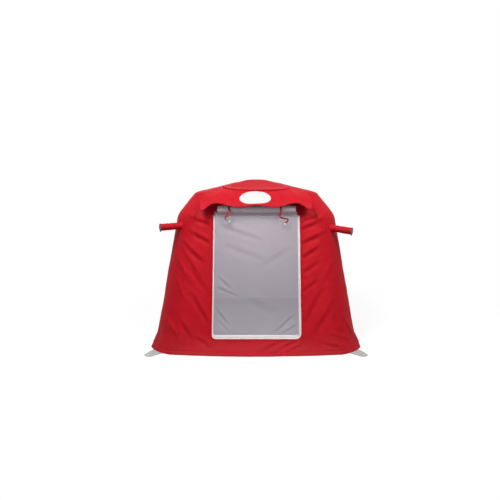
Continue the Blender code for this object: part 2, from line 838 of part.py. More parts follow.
def mesh_door():
    """The insect mesh panel, with the slack wrinkles of a hung panel."""
    half = DOOR_HALF_WIDTH - ZIP_HALF - GAP
    def lay(u, v):
        x = u * half
        foot = foot_line(x, half, -ZIP_HALF - GAP)
        z = blend(foot, -MESH_THICKNESS / 2, (1 + v) / 2)
        ripple = math.sin(7.0 * u + 5.0 * v) * (1 - u * u) * (1 - v * v)
        return Vector((x, MESH_WRINKLE * ripple, z))

    panel = cloth_panel("mesh_door", lay, 14, 16, finish("mesh", MESH_GREY, 0.8), MESH_THICKNESS, 0.0)
    panel.matrix_world = door_frame()


def slider_frame():
    return door_frame() @ Matrix.Translation((DOOR_HALF_WIDTH, 0.0, up_wall(SLIDER_HEIGHT)))


def slider_plate(name, side, frame):
    """One face of the slider, wider at its top, and side flanges that hold the teeth in."""
    top, foot, half = SLIDER_TOP_WIDTH / 2, SLIDER_FOOT_WIDTH / 2, SLIDER_LENGTH / 2
    corner = half / 4
    outline = [
        (-foot + corner / 2, -half), (foot - corner / 2, -half), (foot, -half + corner / 2),
        (top, corner), (top, half - corner / 2), (top - corner / 2, half),
        (-top + corner / 2, half), (-top, half - corner / 2), (-top, corner), (-foot, -half + corner / 2),
    ]
    turn = Matrix.Rotation(math.radians(90), 4, "X")
    shift = Matrix.Translation((0.0, side * (SLIDER_HOLLOW + SLIDER_PLATE / 2), 0.0))
    return flat_outline(name, [outline], SLIDER_PLATE, None, frame @ shift @ turn)


def slider_arch(name, side, frame):
    """The bridge that keeps the pull on the slider."""
    foot, height = side * (SLIDER_FACE - ARCH_WIRE / 2), PULL_SEAT + PULL_THICKNESS / 2 + ARCH_WIRE * 1.2
    top, half = side * (SLIDER_FACE + height), ARCH_LENGTH / 2
    route = [(foot, -half), (side * SLIDER_FACE, -half), (top, -half * 0.8), (top, half * 0.8),
             (side * SLIDER_FACE, half), (foot, half)]
    curve = bpy.data.curves.new(name, "CURVE")
    curve.dimensions = "3D"
    curve.bevel_depth = ARCH_WIRE / 2
    curve.bevel_resolution = 1
    curve.use_fill_caps = True
    spline = curve.splines.new("POLY")
    spline.points.add(len(route) - 1)
    for point, (y, z) in zip(spline.points, route):
        point.co = (0.0, y, z, 1.0)
    return welded(name, curve, None, frame)


def zip_slider():
    """The slider body: two plates on a post, four flanges and a bridge on each face."""
    frame = slider_frame()
    body = slider_plate("zip_slider", -1, frame)
    body.data.materials.append(finish("zip_metal", STEEL, 0.35, 1.0))
    join(body, slider_plate("back_plate", 1, frame))
    half, grip = SLIDER_LENGTH / 2, SLIDER_PLATE / 2
    post, deep = ZIP_SLOT * 0.7, SLIDER_HOLLOW + grip
    join(body, block("post", (-post, -deep, half * 0.2), (post, deep, half * 0.9), frame))
    inner, outer = TEETH_EDGE + SLIDER_CLEARANCE, SLIDER_FOOT_WIDTH / 2
    lip = TAPE_THICKNESS / 2 + SLIDER_CLEARANCE
    for number, (side, face) in enumerate([(-1, -1), (1, -1), (-1, 1), (1, 1)]):
        across, depth = sorted((side * inner, side * outer)), sorted((face * lip, face * deep))
        low, high = (across[0], depth[0], -half * 0.8), (across[1], depth[1], half * 0.8)
        join(body, block(f"flange_{number}", low, high, frame))
    join(body, slider_arch("front_arch", -1, frame))
    join(body, slider_arch("back_arch", 1, frame))


def zip_pull(name, side, tilt):
    """A pull hung on the slider's bridge, its cross bar on the hinge line."""
    bar, half = PULL_THICKNESS / 2, PULL_WIDTH / 2
    window, reach = ARCH_WIRE * 1.6, ARCH_LENGTH * 0.72
    limb = window + PULL_THICKNESS
    outline = [(-limb, bar), (-limb, -reach), (-half, -reach - bar * 3)]
    outline += arc((0.0, -PULL_LENGTH + half), half, 180, 360, 9)
    outline += [(half, -reach - bar * 3), (limb, -reach), (limb, bar)]
    hole = [(-window, -bar), (window, -bar), (window, -reach), (-window, -reach)]
    hang = Matrix.Translation((0.0, side * PULL_AXIS, 0.0)) @ Matrix.Rotation(tilt, 4, "X")
    frame = slider_frame() @ hang @ Matrix.Rotation(math.radians(90), 4, "X")
    flat_outline(name, [outline, hole], PULL_THICKNESS, finish("zip_metal", STEEL, 0.35, 1.0), frame)


# Rain flap, patch, rolled storm door and ties
def roof_height(depth):
    """Height of the front roof panel's outer face at a distance in front of the middle."""
    half = depth / DEPTH_RATIO
    share = fraction(half, SHOULDER_HALF_WIDTH, CROWN_HALF_WIDTH)
    return blend(SHOULDER_HEIGHT, CROWN_HEIGHT, share)


def roof_depth(height):
    return DEPTH_RATIO * plan_at(height)[0]


def roof_top(x, depth):
    """Height of the roof's outer face at x and a distance in front, on the panel or on its corner."""
    across = min(1.0, x + depth / DEPTH_RATIO)
    wide, narrow = (2 * half - cut_size for _, half, cut_size, _ in STATIONS[-2:])
    return min(roof_height(depth), blend(SHOULDER_HEIGHT, CROWN_HEIGHT, fraction(across, wide, narrow)))


def flap_hem(u):
    """Height of the flap's hem, eased from one point of its wave to the next."""
    u = abs(u)
    wave = list(zip(FLAP_HEM_SHARES, FLAP_HEM_RISES))
    for (low, first), (high, second) in zip(wave, wave[1:]):
        if u <= high:
            break
    share = fraction(min(u, high), low, high)
    return KNEE_HEIGHT + blend(first, second, share * share * (3 - 2 * share))


def flap_point(u, share):
    """A point on the flap's outer face, share from its sewn edge over the brow to its hem."""
    side, lift = u ** 4, (CLOTH + GAP) * 1.05
    depth = roof_depth(SHOULDER_HEIGHT + FLAP_TOP_RISE) + FLAP_DIP * (1 - u * u)
    x = FLAP_TOP_HALF_WIDTH * u
    top = Vector((x, -depth, roof_top(abs(x), depth) + lift + 2 * CLOTH * side))
    high = SHOULDER_HEIGHT + blend(*FLAP_BROW_RISES, side)
    low = SHOULDER_HEIGHT + blend(*FLAP_FALL_RISES, side)
    brow = Vector((FLAP_BROW_HALF_WIDTH * u, -blend(*FLAP_BROW_DEPTHS, side), high))
    fall = Vector((FLAP_FALL_HALF_WIDTH * u, -blend(*FLAP_FALL_DEPTHS, side), low))
    hem = Vector((FLAP_HALF_WIDTH * u, -FLAP_REACH, flap_hem(u)))
    left = 1 - share
    return top * left ** 3 + (brow * left + fall * share) * 3 * share * left + hem * share ** 3


def rain_flap():
    def lay(u, v):
        return flap_point(u, (1 - v) / 2)

    cloth_panel("rain_flap", lay, 22, 10, finish("red_cloth", RED, 0.75))


def oval_patch():
    """A blank oval sewn on the flap, laid just above its face."""
    def lay(u, v):
        x = u * math.sqrt(1 - v * v / 2) * PATCH_HALF_WIDTH / FLAP_HALF_WIDTH
        up = v * math.sqrt(1 - u * u / 2)
        share = blend(PATCH_MIDDLE_SHARE, PATCH_TOP_SHARE if up > 0 else PATCH_BOTTOM_SHARE, abs(up))
        here, step = flap_point(x, share), 0.001
        along = flap_point(x + step, share) - here
        down = flap_point(x, share + step) - here
        outward = down.cross(along).normalized()
        return here + outward * (2 * GAP + PATCH_THICKNESS)

    cloth_panel("oval_patch", lay, 12, 12, finish("patch", WHITE, 0.6), PATCH_THICKNESS)


def shoulder_axes():
    """A point low on the front shoulder panel, its outward normal and its upward direction."""
    low = Vector((0.0, -DEPTH_RATIO * KNEE_HALF_WIDTH, KNEE_HEIGHT))
    high = Vector((0.0, -DEPTH_RATIO * SHOULDER_HALF_WIDTH, SHOULDER_HEIGHT))
    upward = (high - low).normalized()
    return low, Vector((0.0, -upward.z, upward.y)), upward


def roll_centre():
    low, outward, upward = shoulder_axes()
    stand_off = ROLL_RADIUS + ROLL_CLOTH / 2 + GAP
    along = (KNEE_HEIGHT + ROLL_RISE - outward.z * stand_off - low.z) / upward.z
    return low + upward * along + outward * stand_off


def roll_path():
    """The storm door's section: down the shoulder, then wound inward, as (outward, upward) offsets."""
    path = [(-ROLL_RADIUS, ROLL_TAIL * (1 - i / 3)) for i in range(3)]
    steps = 18 * ROLL_TURNS
    for i in range(steps + 1):
        share = i / steps
        radius = blend(ROLL_RADIUS, ROLL_CORE, share)
        angle = math.pi + 2 * math.pi * ROLL_TURNS * share
        path.append((radius * math.cos(angle), radius * math.sin(angle)))
    return path


def rolled_storm_door():
    """The storm door, rolled up and lying along the shoulder under the flap."""
    centre, path = roll_centre(), roll_path()
    _, outward, upward = shoulder_axes()
    last = len(path) - 1

    def lay(u, v):
        out, up = path[round((1 + u) / 2 * last)]
        return centre + outward * out + upward * up + Vector((v * ROLL_HALF_LENGTH, 0.0, 0.0))

    cloth_panel("rolled_storm_door", lay, last, 6, finish("lining", SILVER, 0.5), ROLL_CLOTH, 0.0)


def tie_path(drop):
    """A ribbon from the shoulder over the roll's front and down beside the net to its toggle."""
    centre = roll_centre()
    _, outward, upward = shoulder_axes()
    radius = ROLL_RADIUS + ROLL_CLOTH / 2 + TIE_THICKNESS / 2 + 2 * GAP
    start_out, start_up = -ROLL_RADIUS - ROLL_CLOTH / 2 + TIE_THICKNESS / 2, TIE_START
    reach = math.hypot(start_out, start_up)
    touch = math.degrees(math.atan2(start_up, start_out) - math.acos(radius / reach))
    lean = math.degrees(math.atan2(outward.z, -outward.y))
    path = [centre + outward * start_out + upward * start_up]
    for out, up in arc((0.0, 0.0), radius, touch, -lean, 8):
        path.append(centre + outward * out + upward * up)
    hang = Vector((0.0, path[-1].y, KNEE_HEIGHT - drop))
    return path + [path[-1].lerp(hang, (i + 1) / 3) for i in range(3)]


def ribbon_tie(name, x, drop):
    path = tie_path(drop)
    last = len(path) - 1

    def lay(u, v):
        return path[round((1 - v) / 2 * last)] + Vector((x + u * TIE_WIDTH / 2, 0.0, 0.0))

    cloth_panel(name, lay, 1, last, finish("ribbon", DARK_RED, 0.7), TIE_THICKNESS, 0.0)


def tie_toggle(name, x, drop):
    """A small moulded barrel on the ribbon's end."""
    end, half = tie_path(drop)[-1], TOGGLE_LENGTH / 2
    profile = [(TOGGLE_RADIUS * math.sin(a), half * math.cos(a)) for a in
               [math.radians(20 * i) for i in range(10)]]
    profile[0], profile[-1] = (0.0, half), (0.0, -half)
    frame = Matrix.Translation((x, end.y, end.z - half - GAP))
    turned(name, profile, finish("toggle", WHITE, 0.4), frame, steps=16, closed=False)


# Filler hoses and valves
def hose_frame(turn):
    """Axes of a front filler hose: zero on the leg's centre line, z out along the hose, y up."""
    foot, knee = [in_space(turn, point) for point in tube_line()[:2]]
    which = ("left", "right").index(CORNERS[turn].split("_")[1])
    base = foot.lerp(knee, fraction(HOSE_HEIGHTS[which], foot.z, knee.z))
    side = 2 * which - 1
    ahead, droop = math.radians(HOSE_FORWARD_DEG), math.radians(HOSE_DROOPS_DEG[which])
    out = Vector((side * math.cos(ahead) * math.cos(droop), -math.sin(ahead) * math.cos(droop), -math.sin(droop)))
    across = Vector((0.0, 0.0, 1.0)).cross(out).normalized()
    up = out.cross(across)
    axes = Matrix((across, up, out)).transposed().to_4x4()
    return Matrix.Translation(base) @ axes


def mouth_frame(turn):
    """The same axes, with zero on the valve's outer face."""
    return hose_frame(turn) @ Matrix.Translation((0.0, 0.0, HOSE_REACH))


def circle(radius, height, sides=28):
    turns = [2 * math.pi * i / sides for i in range(sides)]
    return [Vector((radius * math.cos(a), radius * math.sin(a), height)) for a in turns]


def filler_hose(turn, side):
    """A cloth hose that starts on the leg tube and ends behind the valve's flange."""
    low, high = TUBE_RADIUS * 0.8, HOSE_REACH - FLANGE_THICKNESS - GAP
    heights = [low, blend(low, high, 0.5), high]
    rings = [circle(HOSE_RADIUS, z) for z in heights] + [circle(HOSE_BORE, z) for z in reversed(heights)]
    name = "filler_hose_" + side
    hose = place(name, as_mesh(name, loft(rings, closed=True)), finish("red_cloth", RED, 0.75), hose_frame(turn))
    foot, knee = [in_space(turn, point) for point in tube_line()[:2]]
    frame = Matrix.Translation(foot) @ (knee - foot).to_track_quat("Z", "Y").to_matrix().to_4x4()
    cut(hose, cylinder("leg_shape_" + side, TUBE_RADIUS + GAP, 0.0, (knee - foot).length, frame, 64))


def valve_body(turn, side):
    """Flange, barrel, seat and a three-armed guide for the stem."""
    frame = mouth_frame(turn)
    profile = [
        (FLANGE_RADIUS, 0.0), (FLANGE_RADIUS, -FLANGE_THICKNESS), (BARREL_RADIUS, -FLANGE_THICKNESS),
        (BARREL_RADIUS, -VALVE_DEPTH), (SEAT_RADIUS, -VALVE_DEPTH), (SEAT_RADIUS, -VALVE_DEPTH + SEAT_THICKNESS),
        (BARREL_BORE, -VALVE_DEPTH + SEAT_THICKNESS), (BARREL_BORE, 0.0),
    ]
    body = turned("valve_body_" + side, profile, finish("valve_black", BLACK, 0.45), frame, 36)
    hole = STEM_RADIUS + STEM_CLEARANCE
    hub = [(HUB_RADIUS, -HUB_TOP), (HUB_RADIUS, -HUB_BOTTOM), (hole, -HUB_BOTTOM), (hole, -HUB_TOP)]
    for number in range(ARMS):
        spin = Matrix.Rotation(2 * math.pi * number / ARMS, 4, "Z")
        low = ((HUB_RADIUS + hole) / 2, -ARM_WIDTH / 2, -HUB_BOTTOM * 0.98)
        high = (BARREL_BORE + VALVE_WALL / 2, ARM_WIDTH / 2, -HUB_TOP * 1.02)
        join(body, block(f"arm_{number}_{side}", low, high, frame @ spin))
    join(body, turned("hub_" + side, hub, None, frame, 20))
    inner = KNUCKLE_LENGTH / 2 + EAR_CLEARANCE
    outer, rise = inner + EAR_THICKNESS, CAP_THICKNESS / 2 + KNUCKLE_RADIUS
    for number, sign in enumerate((-1, 1)):
        x = sorted((sign * inner, sign * outer))
        low = (x[0], -CAP_HINGE_RADIUS - KNUCKLE_RADIUS * 1.3, -FLANGE_THICKNESS)
        high = (x[1], -FLANGE_RADIUS + 0.0008, rise)
        ear = block(f"ear_{number}_{side}", low, high, frame)
        join(body, ear)
        root = (x[0], -FLANGE_RADIUS * 0.99, -FLANGE_THICKNESS * 0.98), (x[1], -FLANGE_RADIUS * 0.92, -0.0004)
        join(body, block(f"ear_root_{number}_{side}", *root, frame))
    pin = PIN_RADIUS + PIN_CLEARANCE
    cut(body, cylinder("pin_hole_" + side, pin, -outer * 1.2, outer * 1.2, cap_frame(turn) @ ALONG_X, 16))


ALONG_X = Matrix.Rotation(math.radians(90), 4, "Y")


def cap_frame(turn):
    """The valve's axes with zero on the cap's hinge, at the valve's lower edge."""
    return mouth_frame(turn) @ Matrix.Translation((0.0, -CAP_HINGE_RADIUS, CAP_THICKNESS / 2 + GAP))


def valve_cap(turn, side):
    """A flip cap: disc, plug rim, and a knuckle with its pin between the flange's ears."""
    frame = cap_frame(turn)
    bottom, top = -CAP_THICKNESS / 2, CAP_THICKNESS / 2
    plug, lip = BARREL_BORE - PLUG_CLEARANCE, 0.0008
    inner = plug - PLUG_WALL
    profile = [
        (0.0, top), (CAP_RADIUS - lip, top), (CAP_RADIUS, top - lip), (CAP_RADIUS, bottom), (plug, bottom),
        (plug, bottom - PLUG_DEPTH), (inner, bottom - PLUG_DEPTH), (inner, bottom), (0.0, bottom),
    ]
    centre = frame @ Matrix.Translation((0.0, CAP_HINGE_RADIUS, 0.0))
    disc = turned("cap_disc_" + side, profile, None, centre, 36, closed=False)
    name = "valve_cap_" + side
    half = KNUCKLE_LENGTH / 2
    cap = cylinder(name, KNUCKLE_RADIUS, -half, half, frame @ ALONG_X, 16, finish("cap_red", RED, 0.45))
    reach = CAP_HINGE_RADIUS - CAP_RADIUS * 0.96
    join(cap, block("web_" + side, (-half * 0.94, 0.0, bottom * 0.8), (half * 0.94, reach, top * 0.8), frame))
    join(cap, disc)
    length = half + EAR_CLEARANCE + EAR_THICKNESS
    join(cap, cylinder("pin_" + side, PIN_RADIUS, -length, length, frame @ ALONG_X, 12))


def valve_plunger(turn, side):
    """Button, stem and the sealing disc that the air holds against the seat."""
    top, under = -BUTTON_DEPTH, -BUTTON_DEPTH - BUTTON_THICKNESS
    disc, rim = -VALVE_DEPTH - GAP, -VALVE_DEPTH - GAP - SEAT_THICKNESS / 2
    profile = [
        (0.0, top), (BUTTON_RADIUS * 0.9, top), (BUTTON_RADIUS, top - BUTTON_THICKNESS / 5),
        (BUTTON_RADIUS, under), (STEM_RADIUS, under), (STEM_RADIUS, disc), (POPPET_RADIUS, disc),
        (POPPET_RADIUS, rim), (POPPET_RADIUS / 3, rim - SEAT_THICKNESS / 2), (0.0, rim - SEAT_THICKNESS / 2),
    ]
    turned("valve_plunger_" + side, profile, finish("valve_grey", TUBE_GREY, 0.5), mouth_frame(turn), 28, False)


def spring_route():
    """The spring's centre line, from the guide's hub to the button, with level end turns left out."""
    low, high = -HUB_TOP + SPRING_WIRE + GAP, -BUTTON_DEPTH - BUTTON_THICKNESS - SPRING_WIRE - GAP
    steps = 10 * SPRING_TURNS
    route = []
    for i in range(steps + 1):
        angle = 2 * math.pi * SPRING_TURNS * i / steps
        route.append(Vector((SPRING_RADIUS * math.cos(angle), SPRING_RADIUS * math.sin(angle), blend(low, high, i / steps))))
    return route


def valve_spring(turn, side):
    route = spring_route()
    curve = bpy.data.curves.new("valve_spring_" + side, "CURVE")
    curve.dimensions = "3D"
    curve.bevel_depth = SPRING_WIRE
    curve.bevel_resolution = 1
    curve.use_fill_caps = True
    spline = curve.splines.new("POLY")
    spline.points.add(len(route) - 1)
    for point, place_at in zip(spline.points, route):
        point.co = (*place_at, 1.0)
    welded("valve_spring_" + side, curve, finish("steel", STEEL, 0.3, 1.0), mouth_frame(turn))


def least_spring_gap():
    """The least clear distance between neighbouring turns of the spring."""
    route = spring_route()
    apart = [(a - b).length for i, a in enumerate(route) for b in route[i + 6:]]
    return min(apart) - 2 * SPRING_WIRE


# Peg tabs
def tab_frame(turn):
    """A tab's axes: zero under the corner's hem, x outward, z up."""
    outward = (side_axes(turn)[0] + side_axes(turn + 1)[0]).normalized()
    turned_by = math.radians(TAB_TURN_DEG) * (1 if turn % 2 else -1)
    angle = math.atan2(outward.y, outward.x) + turned_by
    return Matrix.Translation(corner_point(turn, 0.0, 0.0)) @ Matrix.Rotation(angle, 4, "Z")


def peg_tab(turn):
    """A tongue of grey webbing sewn under the corner, with a hole for its eyelet."""
    round_centre = TAB_LENGTH - TAB_TIP_RADIUS
    outline = [(-TAB_ROOT, -TAB_ROOT_HALF_WIDTH), (0.0, -TAB_ROOT_HALF_WIDTH)]
    outline += arc((round_centre, 0.0), TAB_TIP_RADIUS, -80, 80, 13)
    outline += [(0.0, TAB_ROOT_HALF_WIDTH), (-TAB_ROOT, TAB_ROOT_HALF_WIDTH)]
    hole = arc((TAB_LENGTH - EYE_INSET, 0.0), EYE_RADIUS + EYE_WALL + GAP, 0, 337.5, 16)
    frame = tab_frame(turn) @ Matrix.Translation((0.0, 0.0, TAB_BOTTOM + TAB_THICKNESS / 2))
    flat_outline("peg_tab_" + CORNERS[turn], [outline, hole], TAB_THICKNESS, finish("tab", TAB_GREY, 0.7), frame)


def peg_eyelet(turn):
    """A pressed eyelet in the tab: a barrel between two flanges."""
    top = TAB_BOTTOM + TAB_THICKNESS + GAP
    barrel = EYE_RADIUS + EYE_WALL
    profile = [
        (EYE_FLANGE, top + EYE_PLATE), (EYE_FLANGE, top), (barrel, top), (barrel, EYE_PLATE),
        (EYE_FLANGE, EYE_PLATE), (EYE_FLANGE, 0.0), (EYE_RADIUS, 0.0), (EYE_RADIUS, top + EYE_PLATE),
    ]
    frame = tab_frame(turn) @ Matrix.Translation((TAB_LENGTH - EYE_INSET, 0.0, 0.0))
    turned("peg_eyelet_" + CORNERS[turn], profile, finish("steel", STEEL, 0.3, 1.0), frame, 20)


def build_shell():
    for turn in (1, 2, 3):
        wall(turn)
    front_wall("front_wall_right", 1)
    front_wall("front_wall_left", -1)
    front_sill()
    knee, shoulder = fold_setback(WALL_LEVELS, SHOULDER_LEVELS), fold_setback(SHOULDER_LEVELS, ROOF_LEVELS)
    for turn, side in enumerate(SIDES):
        sloped_panel("shoulder_panel_" + side, turn, SHOULDER_LEVELS, (knee, shoulder), 10, 3)
        sloped_panel("roof_panel_" + side, turn, ROOF_LEVELS, (shoulder, crown_setback()), 8, 4)
        corner_cover(turn)
    crown_patch()
    ground_sheet()


def build_frame():
    for turn in range(4):
        leg_tube(turn)
    roof_cross_tube()


def build_door():
    zips()
    mesh_door()
    zip_slider()
    zip_pull("zip_pull_outer", -1, 0.0)
    zip_pull("zip_pull_inner", 1, wall_lean())


def build_front_fittings():
    rain_flap()
    oval_patch()
    rolled_storm_door()
    for side, x, drop in zip(("left", "right"), TIE_PLACES, TIE_DROPS):
        ribbon_tie("ribbon_tie_" + side, x, drop)
        tie_toggle("tie_toggle_" + side, x, drop)


def build_hoses():
    for side, turn in (("right", 0), ("left", 3)):
        filler_hose(turn, side)
        valve_body(turn, side)
        valve_cap(turn, side)
        valve_plunger(turn, side)
        valve_spring(turn, side)
    print(f"least gap between spring turns: {least_spring_gap() * 1000:.2f} mm")


def build_tabs():
    for turn in range(4):
        peg_tab(turn)
        peg_eyelet(turn)


clear_scene()
TENT = collection("inflatable_tent")
SHAPES = collection("cutters")
build_shell()
build_frame()
build_door()
build_front_fittings()
build_hoses()
build_tabs()
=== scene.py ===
"""The inflatable tent's look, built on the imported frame. Metres, +Z up, the door faces -Y."""
import math

import bmesh
import bpy
import numpy as np
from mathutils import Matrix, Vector, noise


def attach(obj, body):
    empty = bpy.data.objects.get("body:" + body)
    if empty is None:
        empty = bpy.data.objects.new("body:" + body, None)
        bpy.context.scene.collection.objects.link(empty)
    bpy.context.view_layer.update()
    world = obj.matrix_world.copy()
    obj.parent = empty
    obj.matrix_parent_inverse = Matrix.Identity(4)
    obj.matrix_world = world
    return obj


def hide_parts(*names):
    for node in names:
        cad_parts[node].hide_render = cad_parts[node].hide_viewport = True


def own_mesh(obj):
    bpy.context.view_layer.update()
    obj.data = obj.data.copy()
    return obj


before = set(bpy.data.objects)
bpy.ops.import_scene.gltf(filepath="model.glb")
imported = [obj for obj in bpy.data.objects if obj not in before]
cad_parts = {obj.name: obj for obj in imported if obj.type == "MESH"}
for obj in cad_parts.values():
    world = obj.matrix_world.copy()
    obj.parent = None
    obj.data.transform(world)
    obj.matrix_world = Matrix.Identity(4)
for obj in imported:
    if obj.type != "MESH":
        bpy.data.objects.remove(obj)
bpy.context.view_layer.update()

# Camera, floor and light
# A level camera at eye height, its picture shifted as in the photo, and a floor that fades out into plain
# white beyond the shadow. Two lamps above and one in front light the tent. One inside lights its rear wall,
# so that the far edge of the floor shows through the net, and one behind lights its back.
CAMERA_PLACE = (0.0, -5.0, 1.48)
SENSOR_WIDTH = 36.0
LENS = 30.456
PICTURE_SHIFT = (-0.012, -0.1028)
FLOOR_RADIUS = 9.0
FLOOR_DROP = 0.0006
FLOOR_FADE = (1.8, 3.6)
FLOOR_COLOUR = (0.26, 0.26, 0.26)
FLOOR_GLOW = 0.80
WORLD_LIGHT = 0.22
PURE_WHITE = (1.0, 1.0, 1.0, 1.0)
AIM = (0.0, 0.0, 0.8)
scene = bpy.context.scene
scene.view_settings.view_transform = "Standard"


def link(name, data):
    """A new object of a mesh, a camera or a lamp, in the scene."""
    item = bpy.data.objects.new(name, data)
    scene.collection.objects.link(item)
    return item


def new_material(name):
    """An empty material, its node tree and its output node."""
    material = bpy.data.materials.new(name)
    material.use_nodes = True
    tree = material.node_tree
    tree.nodes.clear()
    return material, tree, tree.nodes.new("ShaderNodeOutputMaterial")


def node(tree, kind, inputs=(), **settings):
    """A node with its settings, its inputs given as values or as sockets to join."""
    made = tree.nodes.new(kind)
    for key, value in settings.items():
        setattr(made, key, value)
    for key, value in dict(inputs).items():
        if isinstance(value, bpy.types.NodeSocket):
            tree.links.new(value, made.inputs[key])
        else:
            made.inputs[key].default_value = value
    return made


def maths(tree, operation, first, second=0.0, third=0.0):
    """One step of arithmetic on sockets or numbers."""
    return node(tree, "ShaderNodeMath", {0: first, 1: second, 2: third}, operation=operation).outputs[0]


def seen_plainly(tree):
    """1 for the camera's own rays and for those that glossy or clear surfaces pass on, 0 for light."""
    path = node(tree, "ShaderNodeLightPath")
    passed_on = maths(tree, "MAXIMUM", path.outputs["Is Glossy Ray"], path.outputs["Is Transmission Ray"])
    return maths(tree, "MAXIMUM", path.outputs["Is Camera Ray"], passed_on)


def area_light(name, place, target, size, power):
    """A square soft box at a place, turned towards a target."""
    data = bpy.data.lights.new(name, "AREA")
    data.size = size
    data.energy = power
    lamp = link(name, data)
    lamp.location = place
    lamp.rotation_euler = (Vector(target) - Vector(place)).to_track_quat("-Z", "Y").to_euler()


camera = link("camera", bpy.data.cameras.new("camera"))
scene.camera = camera
camera.location = CAMERA_PLACE
camera.rotation_euler = (math.radians(90), 0.0, 0.0)
camera.data.sensor_width = SENSOR_WIDTH
camera.data.lens = LENS
camera.data.shift_x, camera.data.shift_y = PICTURE_SHIFT

floor_mesh = bpy.data.meshes.new("floor")
floor_body = bmesh.new()
bmesh.ops.create_circle(floor_body, cap_ends=True, radius=FLOOR_RADIUS, segments=96)
bmesh.ops.translate(floor_body, verts=floor_body.verts, vec=(0.0, 0.0, -FLOOR_DROP))
floor_body.to_mesh(floor_mesh)
floor_body.free()
floor = link("floor", floor_mesh)
floor_material, tree, output = new_material("floor")
where = node(tree, "ShaderNodeTexCoord")
away = node(tree, "ShaderNodeVectorMath", {0: where.outputs["Object"]}, operation="LENGTH")
fade = node(tree, "ShaderNodeMapRange",
            {"Value": away.outputs["Value"], "From Min": FLOOR_FADE[0], "From Max": FLOOR_FADE[1]},
            interpolation_type="SMOOTHSTEP")
matt = node(tree, "ShaderNodeBsdfDiffuse", {"Color": (*FLOOR_COLOUR, 1.0)})
glow = maths(tree, "MULTIPLY", seen_plainly(tree), FLOOR_GLOW)
pale = node(tree, "ShaderNodeEmission", {"Color": PURE_WHITE, "Strength": glow})
lit = node(tree, "ShaderNodeAddShader", {0: matt.outputs[0], 1: pale.outputs[0]})
clear = node(tree, "ShaderNodeBsdfTransparent")
mixed = node(tree, "ShaderNodeMixShader", {0: fade.outputs["Result"], 1: lit.outputs[0], 2: clear.outputs[0]})
tree.links.new(mixed.outputs[0], output.inputs["Surface"])
floor_mesh.materials.append(floor_material)

world = bpy.data.worlds.new("studio")
scene.world = world
world.use_nodes = True
tree = world.node_tree
tree.nodes.clear()
shade = node(tree, "ShaderNodeBackground", {"Color": PURE_WHITE, "Strength": WORLD_LIGHT})
white = node(tree, "ShaderNodeBackground", {"Color": PURE_WHITE, "Strength": 1.0})
chosen = node(tree, "ShaderNodeMixShader", {0: seen_plainly(tree), 1: shade.outputs[0], 2: white.outputs[0]})
output = node(tree, "ShaderNodeOutputWorld")
tree.links.new(chosen.outputs[0], output.inputs["Surface"])
area_light("left", (-1.9, -3.3, 5.2), AIM, 1.6, 214.0)
area_light("right", (2.4, -3.4, 4.8), AIM, 1.8, 158.0)
area_light("front", (0.4, -6.2, 1.4), AIM, 3.0, 26.0)
area_light("back", (-0.8, 5.6, 1.8), AIM, 2.4, 130.0)
area_light("inside", (0.0, -0.40, 1.42), (0.0, 1.0, 0.70), 0.5, 8.0)

# Tent shell
# Coated polyester cloth sewn from walls, corner covers, shoulder and roof panels into one skin and drawn
# tight over the air frame: red outside, silver inside. Felled seams run up both edges of each corner.
SKIRT_HEIGHT = 0.13
KNEE_HEIGHT = 1.315
SHOULDER_HEIGHT = 1.55
CROWN_HEIGHT = 1.70
SKIRT_HALF, KNEE_HALF, SHOULDER_HALF, CROWN_HALF = 0.989, 0.814, 0.645, 0.106
STATION_Z = np.array([0.0, SKIRT_HEIGHT, KNEE_HEIGHT, SHOULDER_HEIGHT, CROWN_HEIGHT])
HALF_WIDTHS = np.array([1.04, SKIRT_HALF, KNEE_HALF, SHOULDER_HALF, CROWN_HALF])
CORNER_CUTS = np.array([0.22, 0.22, 0.20, 0.16, 0.05])
CORNER_ROUNDS = np.array([0.03, 0.03, 0.03, 0.025, 0.008])
DEPTH_RATIO = 0.96
CROWN_DOME = 0.006
HEM_BULGE = 0.060
WALL_SAG = 0.018
SHELL_CLOTH = 0.0010
DOOR_HALF_WIDTH = 0.425
DOOR_BOTTOM = 0.148
DOOR_CORNER = 0.045
HINGE_DROP = 0.0045
ZIP_HALF = 0.014
HINGE_HEIGHT = KNEE_HEIGHT - HINGE_DROP
LEAN = math.atan2(DEPTH_RATIO * (SKIRT_HALF - KNEE_HALF), KNEE_HEIGHT - SKIRT_HEIGHT)
OPENING_HALF = DOOR_HALF_WIDTH + ZIP_HALF
RED = (0.50, 0.005, 0.014)
LINING = (0.62, 0.54, 0.58)
KNEE_WINDOW = 0.05
SEAM_OFFSETS = [0.0, 0.0018, 0.004, 0.009, 0.0115, 0.014, 0.022, 0.034]
HEM_ROWS = [0.003, 0.008, 0.016, 0.024, 0.030, 0.0325, 0.035, 0.040, 0.050, 0.062]
WEAVE_PITCH = 0.0012


def effect(name, sockets):
    """A node group with a vector and the named numbers in, and Tone and Height out, for colour and bump."""
    group = bpy.data.node_groups.new(name, "ShaderNodeTree")
    group.interface.new_socket("Vector", in_out="INPUT", socket_type="NodeSocketVector")
    for key, value in sockets.items():
        socket = group.interface.new_socket(key, in_out="INPUT", socket_type="NodeSocketFloat")
        socket.default_value = value
    group.interface.new_socket("Tone", in_out="OUTPUT", socket_type="NodeSocketFloat")
    group.interface.new_socket("Height", in_out="OUTPUT", socket_type="NodeSocketFloat")
    return group, group.nodes.new("NodeGroupInput"), group.nodes.new("NodeGroupOutput")


